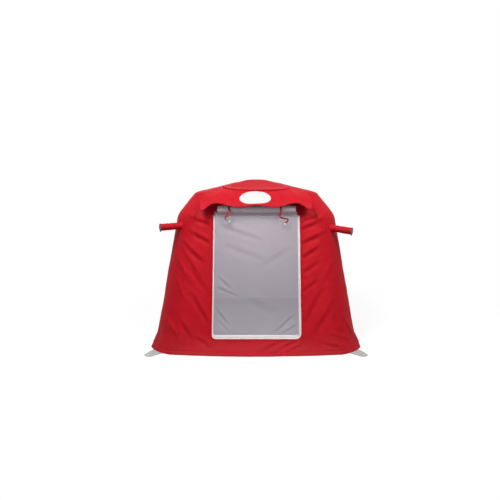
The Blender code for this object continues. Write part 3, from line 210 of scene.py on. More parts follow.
# woven threads
weave, given, result = effect("weave", {"Pitch": WEAVE_PITCH})
turns = maths(weave, "DIVIDE", 2 * math.pi, given.outputs["Pitch"])
scaled = node(weave, "ShaderNodeVectorMath", {0: given.outputs["Vector"], "Scale": turns}, operation="SCALE")
split = node(weave, "ShaderNodeSeparateXYZ", {0: scaled.outputs[0]})
waves = [maths(weave, "SINE", split.outputs[axis]) for axis in "XYZ"]
crossed = maths(weave, "MULTIPLY", maths(weave, "ADD", waves[0], waves[1]), waves[2])
woven = maths(weave, "MULTIPLY_ADD", crossed, 0.25, 0.5)
weave.links.new(woven, result.inputs["Tone"])
weave.links.new(woven, result.inputs["Height"])

# fine crumples with sharp ridges
crumple, given, result = effect("crumple", {"Size": 0.05})
density = maths(crumple, "DIVIDE", 1.0, given.outputs["Size"])
broad = node(crumple, "ShaderNodeTexNoise",
             {"Vector": given.outputs["Vector"], "Scale": density, "Detail": 3.0, "Roughness": 0.55,
              "Distortion": 0.6})
ridge = maths(crumple, "ABSOLUTE", maths(crumple, "SUBTRACT", broad.outputs[0], 0.5))
crumple.links.new(broad.outputs[0], result.inputs["Tone"])
sharp = maths(crumple, "POWER", maths(crumple, "MULTIPLY", ridge, 4.0), 0.7)
crumple.links.new(sharp, result.inputs["Height"])

# a mask low down that thins out with height: dust on pale cloth, painted shade at the foot of the red cloth
dust_and_shade_low, given, result = effect("dust_and_shade_low", {"Top": 0.25})
drop = node(dust_and_shade_low, "ShaderNodeSeparateXYZ", {0: given.outputs["Vector"]})
specks = node(dust_and_shade_low, "ShaderNodeTexNoise", {"Vector": given.outputs["Vector"], "Scale": 9.0, "Detail": 6.0})
low = node(dust_and_shade_low, "ShaderNodeMapRange",
           {"Value": drop.outputs["Z"], "From Min": 0.0, "From Max": given.outputs["Top"], "To Min": 1.0,
            "To Max": 0.0})
dust_and_shade_low.links.new(maths(dust_and_shade_low, "MULTIPLY", low.outputs[0], specks.outputs[0]), result.inputs["Tone"])
dust_and_shade_low.links.new(specks.outputs[0], result.inputs["Height"])


def use(tree, group, vector, **values):
    """A node group in a material, with its numbers set on its own sockets."""
    made = tree.nodes.new("ShaderNodeGroup")
    made.node_tree = group
    tree.links.new(vector, made.inputs["Vector"])
    for key, value in values.items():
        made.inputs[key].default_value = value
    return made


def blend_colours(tree, share, first, second):
    """A colour between two, each of them a colour or a socket."""
    first, second = (c if isinstance(c, bpy.types.NodeSocket) else (*c, 1.0) for c in (first, second))
    return node(tree, "ShaderNodeMix", {0: share, 6: first, 7: second}, data_type="RGBA").outputs[2]


def relief(tree, height, strength, distance, **under):
    """A bump made from heights, over the one that under names."""
    inputs = {"Height": height, "Strength": strength, "Distance": distance, **under}
    return node(tree, "ShaderNodeBump", inputs).outputs[0]


def cloth_material(name, colour, shade=0.8, rough=0.6, pitch=WEAVE_PITCH, crumples=0.4, size=0.05, thread=0.25,
                   dust_and_shade_share=0.0, dirt_and_shade_colour=(0.45, 0.40, 0.36), sheen=0.1, through=0.0, specular=0.3):
    """Woven cloth: threads and crumples in the bump, uneven dye, and low down pale dust or dark painted shade.
    """
    material, tree, output = new_material(name)
    at = node(tree, "ShaderNodeTexCoord").outputs["Object"]
    threads = use(tree, weave, at, Pitch=pitch)
    folds = use(tree, crumple, at, Size=size)
    uneven = node(tree, "ShaderNodeMapRange",
                  {"Value": folds.outputs["Tone"], "From Min": 0.3, "From Max": 0.7}).outputs[0]
    dyed = blend_colours(tree, uneven, tuple(c * shade for c in colour), colour)
    share = maths(tree, "MULTIPLY", use(tree, dust_and_shade_low, at).outputs["Tone"], dust_and_shade_share)
    fine = relief(tree, threads.outputs["Height"], thread, 0.0002)
    coarse = relief(tree, folds.outputs["Height"], crumples, 0.002, Normal=fine)
    shader = node(tree, "ShaderNodeBsdfPrincipled",
                  {"Base Color": blend_colours(tree, share, dyed, dirt_and_shade_colour), "Normal": coarse, "Roughness": rough,
                   "Sheen Weight": sheen, "Sheen Roughness": 0.4, "Specular IOR Level": specular})
    surface = shader.outputs[0]
    if through:
        glow = node(tree, "ShaderNodeBsdfTranslucent", {"Color": (*colour, 1.0), "Normal": coarse})
        surface = node(tree, "ShaderNodeMixShader", {0: through, 1: surface, 2: glow.outputs[0]}).outputs[0]
    tree.links.new(surface, output.inputs["Surface"])
    return material


def mix(low, high, share):
    """The value a share of the way from low to high."""
    return low + (high - low) * share


def unit(vectors):
    """Vectors turned to length 1."""
    return vectors / np.maximum(np.linalg.norm(vectors, axis=-1, keepdims=True), 1e-12)


def smooth(value, low, high):
    """An eased step from 0 at low to 1 at high."""
    share = np.clip((value - low) / (high - low), 0.0, 1.0)
    return share * share * (3 - 2 * share)


def grid(name, points, materials, closed=False, skip=None, thickness=0.0, offset=-1.0):
    """A sheet through rows and columns of points, without the faces that skip marks."""
    rows, columns = points.shape[:2]
    across = columns if closed else columns - 1
    faces = []
    for j in range(rows - 1):
        for i in range(across):
            if skip is not None and skip[j, i]:
                continue
            k = (i + 1) % columns
            faces.append((j * columns + i, j * columns + k, (j + 1) * columns + k, (j + 1) * columns + i))
    mesh = bpy.data.meshes.new(name)
    mesh.from_pydata(points.reshape(-1, 3).tolist(), [], faces)
    body = bmesh.new()
    body.from_mesh(mesh)
    bmesh.ops.delete(body, geom=[v for v in body.verts if not v.link_faces], context="VERTS")
    body.to_mesh(mesh)
    body.free()
    mesh.shade_smooth()
    for material in materials:
        mesh.materials.append(material)
    item = link(name, mesh)
    if thickness:
        cloth = item.modifiers.new("thickness", "SOLIDIFY")
        cloth.thickness = thickness
        cloth.offset = offset
        cloth.use_even_offset = False
        cloth.material_offset = 1 if len(materials) > 1 else 0
        cloth.material_offset_rim = 0
    return item


def normals_of(points, closed=False):
    """Unit normals of a grid of points, from its rows and columns."""
    if closed:
        along = np.roll(points, -1, axis=1) - np.roll(points, 1, axis=1)
    else:
        along = np.gradient(points, axis=1)
    return unit(np.cross(along, np.gradient(points, axis=0)))


def plan_at(z, window):
    """Half width, corner cut and corner rounding at a height, the folds eased over a window."""
    z = np.asarray(z, float)
    reach = np.minimum(window, np.minimum(z, CROWN_HEIGHT - z))
    around = [z + k * reach for k in np.linspace(-1, 1, 9)]
    return [np.mean([np.interp(height, STATION_Z, values) for height in around], axis=0)
            for values in (HALF_WIDTHS, CORNER_CUTS, CORNER_ROUNDS)]


def ease_window(z, knee):
    """How far a fold is eased at a height: widely at the knee, little at the shoulder and crown."""
    return knee + (0.012 - knee) * smooth(z, 1.39, 1.47)


def up_wall(height):
    """Distance up the front wall from the hinge line, negative below it."""
    return (height - HINGE_HEIGHT) / math.cos(LEAN)


def foot_line(x, half, outset):
    """Height of the lower edge of an opening in the front wall, rounded at both corners."""
    radius = DOOR_CORNER + outset
    foot = up_wall(DOOR_BOTTOM) - outset
    beyond = np.clip(np.abs(x) - (half - radius), 0.0, radius)
    return HINGE_HEIGHT + (foot + radius - np.sqrt(radius * radius - beyond * beyond)) * math.cos(LEAN)


def fold(x, z, start, end, width, depth):
    """A soft fold along a line: negative depth is a valley, gone at both ends."""
    ax, az = start
    bx, bz = end
    length = math.hypot(bx - ax, bz - az)
    dx, dz = (bx - ax) / length, (bz - az) / length
    along = ((x - ax) * dx + (z - az) * dz) / length
    aside = (x - ax) * dz - (z - az) * dx
    taper = np.sin(np.pi * np.clip(along, 0.0, 1.0)) ** 0.7
    return depth * taper * np.exp(-(aside / width) ** 2)


def pleat(x, z, start, end, width, depth):
    """A drawn fold: a valley along a line with a rounded ridge on its left, seen from start to end."""
    (ax, az), (bx, bz) = start, end
    length = math.hypot(bx - ax, bz - az)
    shift = (-(bz - az) / length * width * 1.4, (bx - ax) / length * width * 1.4)
    ridge_start, ridge_end = (ax + shift[0], az + shift[1]), (bx + shift[0], bz + shift[1])
    return fold(x, z, start, end, width, -depth) + fold(x, z, ridge_start, ridge_end, width * 1.2, depth * 0.7)


def side_positions(reach, front):
    """Positions across a side from seam to seam, dense beside the seams and the door."""
    scale = np.minimum(1.0, reach / 0.6)[:, None]
    near = np.array(SEAM_OFFSETS)[None, :] * scale
    edge = reach[:, None]
    inner = edge - near[:, -1:]
    if front:
        door = np.minimum(OPENING_HALF, OPENING_HALF * reach / 0.614)[:, None]
        beside = door + np.array([0.0, 0.003, 0.010, 0.0125, 0.015, 0.024])[None, :] * scale
        wide = np.linspace(0.0, 1.0, 22)[None, 1:-1]
        outer = beside[:, -1:] + (inner - beside[:, -1:]) * wide
        even = np.linspace(0.0, 1.0, 24)[None, 1:-1]
        core = np.sin(even * math.pi / 2) * 0.35 + even * 0.65
        half = np.concatenate([door * core, beside, outer, edge - near[:, ::-1]], axis=1)
        return np.concatenate([-half[:, ::-1], np.zeros((len(reach), 1)), half], axis=1)
    middle = np.linspace(-1.0, 1.0, 76)[None, 1:-1] * inner
    return np.concatenate([-(edge - near), middle, edge - near[:, ::-1]], axis=1)


def shell_rows():
    """Heights of the shell's rows, the same for every column but those under the door."""
    foot = float(foot_line(OPENING_HALF, OPENING_HALF, ZIP_HALF))
    lower = np.linspace(HEM_ROWS[-1], foot, 12)[1:]
    wall = np.linspace(foot, HINGE_HEIGHT, 90)[1:]
    above = np.concatenate([np.linspace(HINGE_HEIGHT, SHOULDER_HEIGHT, 18)[1:],
                            np.linspace(SHOULDER_HEIGHT, CROWN_HEIGHT, 30)[1:]])
    heights = np.concatenate([HEM_ROWS, lower, wall, above])
    foot_row = len(HEM_ROWS) + len(lower) - 1
    return heights, foot_row, foot_row + len(wall)


heights, foot_row, head_row = shell_rows()
rows = len(heights)
blocks, across_of, turn_of, corner_of = [], [], [], []
door_columns = None
first_column = 0
for turn in range(4):
    angle = math.radians(90 * turn - 90)
    outward = np.array([math.cos(angle), math.sin(angle)])
    sideways = np.array([-outward[1], outward[0]])
    z = heights
    half, cut_size, rounding = plan_at(z, ease_window(z, KNEE_WINDOW))
    across = side_positions(half - cut_size, turn == 0)
    count = across.shape[1]
    zz = np.repeat(z[:, None], count, axis=1)
    if turn == 0:
        inside = np.abs(across[0]) <= OPENING_HALF + 1e-6
        door_columns = first_column + np.flatnonzero(inside)
        foot = foot_line(across[0], OPENING_HALF, ZIP_HALF)
        start, end = HEM_ROWS[-1], heights[foot_row]
        low_rows = (zz > start) & (zz <= end + 1e-9) & inside[None, :]
        zz = np.where(low_rows, start + (zz - start) * (foot[None, :] - start) / (end - start), zz)
    knee = KNEE_WINDOW + 0.04 * smooth(np.abs(across), 0.44, 0.60) if turn == 0 else KNEE_WINDOW
    halves, cuts, _ = plan_at(zz, ease_window(zz, knee))
    along = across / np.maximum(halves - cuts, 0.02)
    bulge = np.where(zz < SKIRT_HEIGHT, HEM_BULGE * (1 - along ** 2) * (1 - zz / SKIRT_HEIGHT) ** 2, 0.0)
    rise = np.maximum(0.0, np.sin(math.pi * np.clip((zz - SKIRT_HEIGHT) / (KNEE_HEIGHT - SKIRT_HEIGHT), 0, 1)))
    sag = 0.0 if turn == 0 else WALL_SAG * (1 - along ** 2) ** 2 * rise
    out = halves + np.maximum(bulge, 0.0) - sag
    plane = outward[None, None, :] * out[..., None] + sideways[None, None, :] * across[..., None]
    blocks.append(np.concatenate([plane, zz[..., None]], axis=2))
    across_of.append(across)
    turn_of.append(np.full(count, turn))
    corner_of.append(np.zeros(count, bool))
    first_column += count
    # the corner that follows this side
    half, cut_size, rounding = plan_at(z, ease_window(z, KNEE_WINDOW))
    chord = math.hypot(1.0, DEPTH_RATIO) * cut_size
    scale = np.minimum(1.0, chord / 0.28)[:, None]
    near = np.array(SEAM_OFFSETS[1:-1])[None, :] * scale / (chord[:, None] / 2)
    middle = np.linspace(-1.0, 1.0, 20)[None, 1:-1] * (1 - near[:, -1:])
    share = np.concatenate([-(1 - near), middle, (1 - near)[:, ::-1]], axis=1)
    half, reach = half[:, None, None], (half - cut_size)[:, None, None]
    first = outward * half + sideways * reach
    second = sideways * half + outward * reach
    t = (1 + share[..., None]) / 2
    diagonal = (outward + sideways) / math.sqrt(2)
    plane = first * (1 - t) + second * t + diagonal * (rounding[:, None] * (1 - share ** 2))[..., None]
    zz = np.repeat(z[:, None], share.shape[1], axis=1)
    blocks.append(np.concatenate([plane, zz[..., None]], axis=2))
    across_of.append(share * chord[:, None] / 2)
    turn_of.append(np.full(share.shape[1], turn))
    corner_of.append(np.ones(share.shape[1], bool))
    first_column += share.shape[1]
shell = np.concatenate(blocks, axis=1)
shell[..., 1] *= DEPTH_RATIO
across_of = np.concatenate(across_of, axis=1)
turn_of = np.concatenate(turn_of)
corner_of = np.concatenate(corner_of)
shell_z = shell[..., 2].copy()

# folds: those of the front run on across the corner covers, the other sides have fans from knees and hem
FRONT_PLEATS = [
    ((0.44, 1.235), (0.66, 1.320), 0.018, 0.009), ((0.43, 1.155), (0.74, 1.290), 0.022, 0.014),
    ((0.43, 1.015), (0.72, 1.145), 0.022, 0.014), ((0.44, 0.875), (0.65, 1.010), 0.022, 0.012),
    ((0.44, 0.730), (0.63, 0.860), 0.022, 0.009), ((0.44, 0.560), (0.61, 0.680), 0.020, 0.008),
    ((0.46, 0.250), (0.67, 0.620), 0.028, 0.009), ((0.56, 0.160), (0.82, 0.540), 0.030, 0.009),
    ((0.66, 0.620), (0.82, 0.880), 0.028, 0.008), ((0.70, 0.175), (0.95, 0.070), 0.016, 0.011),
    ((0.83, 0.320), (0.96, 0.080), 0.016, 0.011), ((0.60, 0.100), (0.90, 0.035), 0.016, 0.007),
    ((0.14, 0.015), (0.40, 0.120), 0.012, 0.008), ((0.24, 0.010), (0.46, 0.090), 0.011, 0.007),
    ((0.00, 0.015), (0.24, 0.110), 0.014, 0.006), ((-0.745, 1.305), (-0.45, 1.215), 0.020, 0.013),
    ((-0.70, 1.160), (-0.42, 1.015), 0.022, 0.014), ((-0.78, 1.075), (-0.51, 0.835), 0.022, 0.013),
    ((-0.80, 1.050), (-0.55, 0.705), 0.020, 0.010), ((-0.86, 0.940), (-0.66, 0.640), 0.024, 0.012),
    ((-0.70, 0.860), (-0.47, 0.550), 0.024, 0.009), ((-0.65, 0.575), (-0.46, 0.260), 0.022, 0.012),
    ((-0.82, 0.700), (-0.70, 0.450), 0.020, 0.010), ((-0.91, 0.300), (-0.77, 0.145), 0.020, 0.017),
    ((-0.77, 0.340), (-0.61, 0.110), 0.022, 0.010), ((-0.60, 0.160), (-0.43, 0.055), 0.016, 0.007),
]
PUCKER_PITCH = 0.066
PUCKER_X = 0.458
DENT = (0.459, 0.690)
FOLDS_TOP = 1.352
FELL_RISE, SEAM_GROOVE = 0.0012, 0.0014
HEM_RISE, HEM_GROOVE, HEM_STITCH_HEIGHT = 0.0022, 0.0026, 0.0335
DOOR_EDGE_RISE = 0.0010
CRUMPLE_DEPTH = 0.0038
HOSE_ROOTS = ((-0.801, 1.203), (0.803, 1.177))
rng = np.random.default_rng(11)
depth = np.zeros_like(shell_z)
reach_of = np.interp(shell_z, STATION_Z, HALF_WIDTHS - CORNER_CUTS)
facing = -normals_of(shell, closed=True)[..., 1]
x = shell[..., 0]
total = sum(pleat(x, shell_z, start, end, width, deep) for start, end, width, deep in FRONT_PLEATS)
door = np.maximum(np.abs(x) - OPENING_HALF, foot_line(x, OPENING_HALF, ZIP_HALF) - shell_z)
total *= smooth(door, 0.004, 0.030) * smooth(facing, 0.25, 0.55)
from_seam = np.where(corner_of[None, :], 0.0, smooth(reach_of - np.abs(across_of), 0.0, 0.045))
total *= np.where(total < 0, mix(0.12, 1.0, from_seam), mix(1.1, 1.0, from_seam))
puckers = np.sin(2 * math.pi * (shell_z + 0.3 * x) / PUCKER_PITCH) - 0.5
puckers *= np.exp(-((x - PUCKER_X) / 0.013) ** 2)
puckers *= smooth(shell_z, 0.25, 0.40) * (1 - smooth(shell_z, 1.20, 1.30))
total += 0.0022 * puckers * (facing > 0.5)
dent = np.exp(-((x - DENT[0]) / 0.015) ** 2 - ((shell_z - DENT[1]) / 0.018) ** 2)
total -= 0.0070 * dent * (facing > 0.5)
for hose_x, hose_z in HOSE_ROOTS:
    total *= smooth(np.hypot(x - hose_x, shell_z - hose_z), 0.045, 0.10)
depth += total
for turn in range(1, 4):
    chosen_columns = (turn_of == turn) & ~corner_of
    x, z = across_of[:, chosen_columns], shell_z[:, chosen_columns]
    total = np.zeros_like(x)
    for side in (-1, 1):
        for k in range(6):
            lean, length = rng.uniform(0.25, 1.15), rng.uniform(0.30, 0.75)
            start = (side * (0.60 + 0.02 * k), 1.28 - 0.10 * k)
            end = (start[0] - side * length * math.sin(lean), start[1] - length * math.cos(lean))
            total += pleat(x, z, end, start, rng.uniform(0.022, 0.036), rng.uniform(0.006, 0.012))
        for k in range(4):
            start = (side * rng.uniform(0.62, 0.80), 0.03 + 0.03 * k)
            end = (start[0] - side * rng.uniform(0.12, 0.34), start[1] + rng.uniform(0.10, 0.34))
            total += pleat(x, z, end, start, rng.uniform(0.018, 0.030), rng.uniform(0.005, 0.010))
    edge = reach_of[:, chosen_columns] - np.abs(x)
    depth[:, chosen_columns] += total * smooth(edge, 0.0, 0.05)
low_corner = 0.006 * np.sin(46.0 * across_of + 18.0 * shell_z)
low_corner *= (1 - smooth(shell_z, 0.06, 0.30)) * smooth(shell_z, 0.0, 0.06)
depth += np.where(corner_of[None, :], low_corner * (1 - 0.6 * smooth(facing, 0.25, 0.55)), 0.0)

# small crumples everywhere, drawn out up and down
for j in range(rows):
    for i in range(shell.shape[1]):
        x, y, z = shell[j, i]
        value = noise.noise(Vector((x * 9.0, y * 9.0, z * 3.5)))
        value += 0.5 * noise.noise(Vector((x * 21.0 + 5.0, y * 21.0, z * 8.0)))
        value += 0.35 * noise.noise(Vector((x * 34.0 + z * 16.0, y * 30.0, z * 30.0 - x * 16.0)))
        depth[j, i] += CRUMPLE_DEPTH * value

front = (turn_of == 0) & ~corner_of
below_door = foot_line(across_of, OPENING_HALF, ZIP_HALF) - shell_z
around = np.where(front[None, :], np.abs(across_of) - OPENING_HALF, 1.0)
around = np.maximum(np.maximum(around, below_door), shell_z - FOLDS_TOP)
depth *= smooth(around, 0.0, 0.030)

# felled seams beside the corners, the turned hem, and the turned edge round the door
side_edge = np.where(corner_of[None, :], 1.0, reach_of - np.abs(across_of))
fell = FELL_RISE * (smooth(side_edge, 0.0, 0.002) - smooth(side_edge, 0.009, 0.013))
seam = np.where(corner_of[None, :], 0.0, fell - SEAM_GROOVE * np.exp(-(side_edge / 0.0022) ** 2))
hem = HEM_RISE * (1 - smooth(shell_z, 0.030, 0.034))
hem -= HEM_GROOVE * np.exp(-((shell_z - HEM_STITCH_HEIGHT) / 0.0035) ** 2)
door_edge = np.maximum(np.abs(across_of) - OPENING_HALF, below_door)
turned = DOOR_EDGE_RISE * (1 - smooth(door_edge, 0.010, 0.0135))
turned = np.where(front[None, :] & (shell_z < HINGE_HEIGHT), turned, 0.0)
depth += seam + hem + turned
depth *= smooth(CROWN_HEIGHT - shell_z, -0.001, 0.03) * 0.999 + 0.001

normal = normals_of(shell, closed=True)
shell = shell + normal * depth[..., None]
top = shell[-1]
crown = []
for share in (0.75, 0.5, 0.25, 0.02):
    ring = top * share
    ring[:, 2] = CROWN_HEIGHT + CROWN_DOME * (1 - share * share)
    crown.append(ring)
shell = np.concatenate([shell, np.array(crown)], axis=0)
skip = np.zeros(shell.shape[:2], bool)
skip[foot_row:head_row, door_columns[0]:door_columns[-1]] = True
# Low down the red cloth is blended towards a deep red: painted shade at the foot.
red_cloth = cloth_material("red_cloth", RED, 0.90, 0.60, crumples=0.12, size=0.06, thread=0.1, dust_and_shade_share=0.45,
                           dirt_and_shade_colour=(0.12, 0.020, 0.022), sheen=0.0, through=0.04, specular=0.13)
silver_lining = cloth_material("silver_lining", LINING, 0.92, 0.5, crumples=0.2, size=0.06, sheen=0.0,
                               through=0.05)
tent_shell = grid("tent_shell", shell, [red_cloth, silver_lining], closed=True, skip=skip,
                  thickness=SHELL_CLOTH)
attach(tent_shell, "tent")
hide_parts("wall_left", "wall_right", "wall_rear", "front_wall_left", "front_wall_right",
            "front_sill", "shoulder_panel_front", "shoulder_panel_right", "shoulder_panel_rear",
            "shoulder_panel_left", "roof_panel_front", "roof_panel_right", "roof_panel_rear",
            "roof_panel_left", "crown_patch", "corner_cover_front_right", "corner_cover_rear_right",
            "corner_cover_rear_left", "corner_cover_front_left")


# Seam thread of the shell
# Bonded polyester thread, sewn through both layers of cloth: two rows along each corner seam, one row along
# the hem and one up each side of the door.
THREAD_RED = (0.42, 0.012, 0.020)
HEM_STITCH_ROW = 4


def run_of(points):
    """Distance along a line of points, at each of them."""
    return np.concatenate([[0.0], np.cumsum(np.linalg.norm(np.diff(points, axis=0), axis=1))])


def points_at(where, run, points):
    """Points at given distances along a line."""
    return np.stack([np.interp(where, run, points[:, k]) for k in range(points.shape[1])], axis=1)


def stitches(name, routes, material, length=0.0045, pitch=0.007, radius=0.00045, lift=0.0003):
    """Rows of single stitches, each a thread lying on the cloth, along routes of (points, normals)."""
    vertices, faces = [], []
    for points, normals in routes:
        points, normals = np.asarray(points, float), np.asarray(normals, float)
        run = run_of(points)
        if run[-1] < 2 * pitch:
            continue
        starts = np.arange(pitch / 2, run[-1] - pitch, pitch)
        first, last = points_at(starts, run, points), points_at(starts + length, run, points)
        out = unit(points_at(starts + length / 2, run, normals))
        side = np.cross(unit(last - first), out)
        for a, b, n, aside in zip(first, last, out * radius, side * radius):
            base = len(vertices)
            vertices.append(a - n)
            for centre in (a * 0.75 + b * 0.25, a * 0.25 + b * 0.75):
                raised = centre + n * lift / radius
                vertices += [raised + aside, raised + n, raised - aside, raised - n]
            vertices.append(b - n)
            for k in range(4):
                j = (k + 1) % 4
                faces.append((base, base + 1 + j, base + 1 + k))
                faces.append((base + 1 + k, base + 1 + j, base + 5 + j, base + 5 + k))
                faces.append((base + 5 + k, base + 5 + j, base + 9))
    mesh = bpy.data.meshes.new(name)
    mesh.from_pydata([tuple(v) for v in vertices], [], faces)
    mesh.shade_smooth()
    mesh.materials.append(material)
    return link(name, mesh)


thread_red = cloth_material("thread_red", THREAD_RED, 0.8, 0.5, pitch=0.0004, crumples=0.0)
whole_normals = normals_of(shell, closed=True)
routes = []
ends = np.flatnonzero(np.diff(np.concatenate([corner_of, corner_of[:1]]).astype(int)))
for last in ends:
    for step in (3, 4):
        column = (last - step) if not corner_of[last] else (last + 1 + step) % shell.shape[1]
        routes.append((shell[:rows, column], whole_normals[:rows, column]))
for turn in range(4):
    chosen_columns = np.flatnonzero(turn_of == turn)
    routes.append((shell[HEM_STITCH_ROW, chosen_columns], whole_normals[HEM_STITCH_ROW, chosen_columns]))
for edge_column in (door_columns[0] - 2, door_columns[-1] + 2):
    routes.append((shell[foot_row:head_row, edge_column], whole_normals[foot_row:head_row, edge_column]))
shell_stitching = stitches("shell_stitching", routes, thread_red)
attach(shell_stitching, "tent")

# Insect-mesh door
# A fine polyester net, sewn along its top edge only, slack enough for soft slanting wrinkles. Its foot is
# bound with white tape, and its sides have a narrow grey strip next to the zip.
MESH_GREY = (0.56, 0.522, 0.590)
NET_GAP = 0.0003
MESH_HALF = DOOR_HALF_WIDTH - ZIP_HALF - NET_GAP
NET_PITCH = 0.0016
NET_PLEATS = [
    ((-0.40, 0.735), (-0.22, 0.575), 0.014, 0.006), ((-0.40, 0.620), (-0.16, 0.520), 0.014, 0.006),
    ((-0.41, 0.430), (-0.26, 0.250), 0.014, 0.007), ((-0.37, 0.310), (-0.24, 0.170), 0.013, 0.006),
    ((0.16, 0.170), (0.38, 0.360), 0.015, 0.006), ((0.24, 0.160), (0.40, 0.270), 0.013, 0.006),
    ((-0.36, 1.200), (0.06, 1.060), 0.026, 0.006), ((-0.34, 1.020), (0.10, 0.860), 0.030, 0.005),
    ((0.02, 0.780), (0.37, 1.000), 0.034, 0.005), ((-0.10, 0.480), (0.20, 0.360), 0.040, 0.004),
]
BINDING_SIDE, BINDING_FOOT = 0.0010, 0.008
WHITE = (0.95, 0.94, 0.94)
EDGING_GREY = (0.48, 0.43, 0.47)
EDGING_OUTSET = -0.0150
HINGE_POINT = np.array([0.0, -0.780563, HINGE_HEIGHT])
UP_WALL = np.array([0.0, math.sin(LEAN), math.cos(LEAN)])
INTO = np.array([0.0, math.cos(LEAN), -math.sin(LEAN)])


def on_wall(x, into, up):
    """World points from door coordinates: x, the way into the tent, and the way up the wall."""
    x, into, up = (values[..., None] for values in np.broadcast_arrays(x, into, up))
    return HINGE_POINT + x * np.array([1.0, 0.0, 0.0]) + into * INTO + up * UP_WALL


def door_slack(x, z):
    """How far the net stands out of its plane at a place, outward positive."""
    total = 0.0012 * np.sin(9.0 * x + 5.0 * z) * np.sin(7.0 * z - 3.0 * x + 1.0)
    for start, end, width, deep in NET_PLEATS:
        total += pleat(x, z, start, end, width, deep)
    return total


net_share = np.linspace(-1.0, 1.0, 86)
foot_up = up_wall(foot_line(net_share * MESH_HALF, MESH_HALF, -ZIP_HALF - NET_GAP))
v = np.linspace(0.0, 1.0, 116)[:, None]
net_up = foot_up[None, :] * (1 - v) - 0.001 * v
net_across = np.repeat(net_share[None, :] * MESH_HALF, len(net_up), axis=0)
edge = np.minimum(MESH_HALF * (1 - np.abs(net_share[None, :])), np.minimum(net_up - foot_up[None, :], -net_up))
slack = door_slack(net_across, HINGE_HEIGHT + net_up * math.cos(LEAN)) * smooth(edge, 0.0, 0.06)
net_points = on_wall(net_across, -slack, net_up)
mesh_net, tree, output = new_material("mesh_net")
at = node(tree, "ShaderNodeTexCoord").outputs["Object"]
threads = use(tree, weave, at, Pitch=NET_PITCH)
cover = maths(tree, "MULTIPLY_ADD", threads.outputs["Tone"], 0.34, 0.30)
net_shader = node(tree, "ShaderNodeBsdfPrincipled",
                  {"Base Color": (*MESH_GREY, 1.0), "Roughness": 0.7, "Alpha": cover,
                   "Specular IOR Level": 0.2, "Normal": relief(tree, threads.outputs["Height"], 0.3, 0.0003)})
tree.links.new(net_shader.outputs[0], output.inputs["Surface"])
door_net = grid("door_net", net_points, [mesh_net])
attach(door_net, "mesh_door")
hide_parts("mesh_door")
white_tape = cloth_material("white_tape", WHITE, 0.98, 0.6, pitch=0.0009, crumples=0.05, size=0.02,
                            thread=0.05)


def zip_route(step):
    """Centre line of the zip and its outward directions: down the left, along the foot, up the right."""
    foot, inner = up_wall(DOOR_BOTTOM), DOOR_HALF_WIDTH - DOOR_CORNER
    top, straight = -HINGE_DROP, -HINGE_DROP - foot - DOOR_CORNER
    bend = DOOR_CORNER * math.pi / 2
    total = 2 * straight + 2 * bend + 2 * inner
    found = []
    for s in np.arange(0.0, total + step / 2, step):
        mirrored = s > total / 2
        t = total - s if mirrored else s
        if t < straight:
            x, z, ox, oz = -DOOR_HALF_WIDTH, top - t, -1.0, 0.0
        elif t < straight + bend:
            a = (t - straight) / DOOR_CORNER
            ox, oz = -math.cos(a), -math.sin(a)
            x, z = -inner + ox * DOOR_CORNER, foot + DOOR_CORNER + oz * DOOR_CORNER
        else:
            x, z, ox, oz = -inner + (t - straight - bend), foot, 0.0, -1.0
        found.append((-x if mirrored else x, z, -ox if mirrored else ox, oz))
    return np.array(found).T


zip_line = zip_route(0.010)
x, z, out_x, out_z = zip_line[:, zip_line[3] < -0.05]
binding_width = BINDING_SIDE + (BINDING_FOOT - BINDING_SIDE) * -out_z
bind_rows = []
for share, lift in ((0.0, 0.0006), (0.08, 0.0012), (0.5, 0.0014), (0.92, 0.0012), (1.0, 0.0007)):
    outset = -ZIP_HALF + 0.0012 - share * binding_width
    bind_rows.append(on_wall(x + out_x * outset, -lift, z + out_z * outset))
door_binding = grid("door_binding", np.array(bind_rows)[::-1], [white_tape], thickness=0.0014)
edging_cloth = cloth_material("edging_cloth", EDGING_GREY, 0.95, 0.6, pitch=0.0010, crumples=0.1, specular=0.2)
x, z, out_x, out_z = zip_line
for side, reach, name in ((-1, -0.0120, "door_edging_left"), (1, -0.0085, "door_edging_right")):
    chosen = (x * side > 0) & (np.abs(out_x) > 0.15)
    full = np.abs(out_x[chosen]) ** 3
    rows_of = []
    for share, lift in ((0.0, 0.0024), (0.04, 0.0032), (0.5, 0.0034), (0.95, 0.0030), (1.0, 0.0016)):
        outset = EDGING_OUTSET + (reach - EDGING_OUTSET) * (1 - share) * full - 0.0030 * share
        rows_of.append(on_wall(x[chosen] + out_x[chosen] * outset, -lift, z[chosen] + out_z[chosen] * outset))
    edging = grid(name, np.array(rows_of)[::-side], [edging_cloth], thickness=0.0008, offset=0.0)
    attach(edging, "mesh_door")
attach(door_binding, "mesh_door")

# Header of the door
# A strip of grey webbing, sewn over the seam that both doors hang from. It hides the seam's raw edge, and the
# rolled door lies on its upper edge.
HEADER_TOP = 0.034
HEADER_GREY = (0.66, 0.57, 0.625)
header_rows = []
header_across = np.linspace(-0.416, 0.412, 60)
ripple = 0.0006 * np.sin(header_across * 55.0) + 0.0005 * np.sin(header_across * 23.0 + 1.0)
for up, lift in ((-0.0040, 0.0016), (-0.0034, 0.0026), (0.006, 0.0030), (0.020, 0.0034), (HEADER_TOP, 0.0040)):
    height = np.full(len(header_across), KNEE_HEIGHT + up)
    half = plan_at(height, ease_window(height, KNEE_WINDOW))[0]
    header_rows.append(np.stack([header_across, -DEPTH_RATIO * half - lift - ripple, height], axis=1))
header_cloth = cloth_material("header_webbing", HEADER_GREY, 0.92, 0.6, pitch=0.0010, crumples=0.1,
                              specular=0.2)
header = grid("door_header", np.array(header_rows), [header_cloth], thickness=0.0010, offset=0.0)
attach(header, "tent")

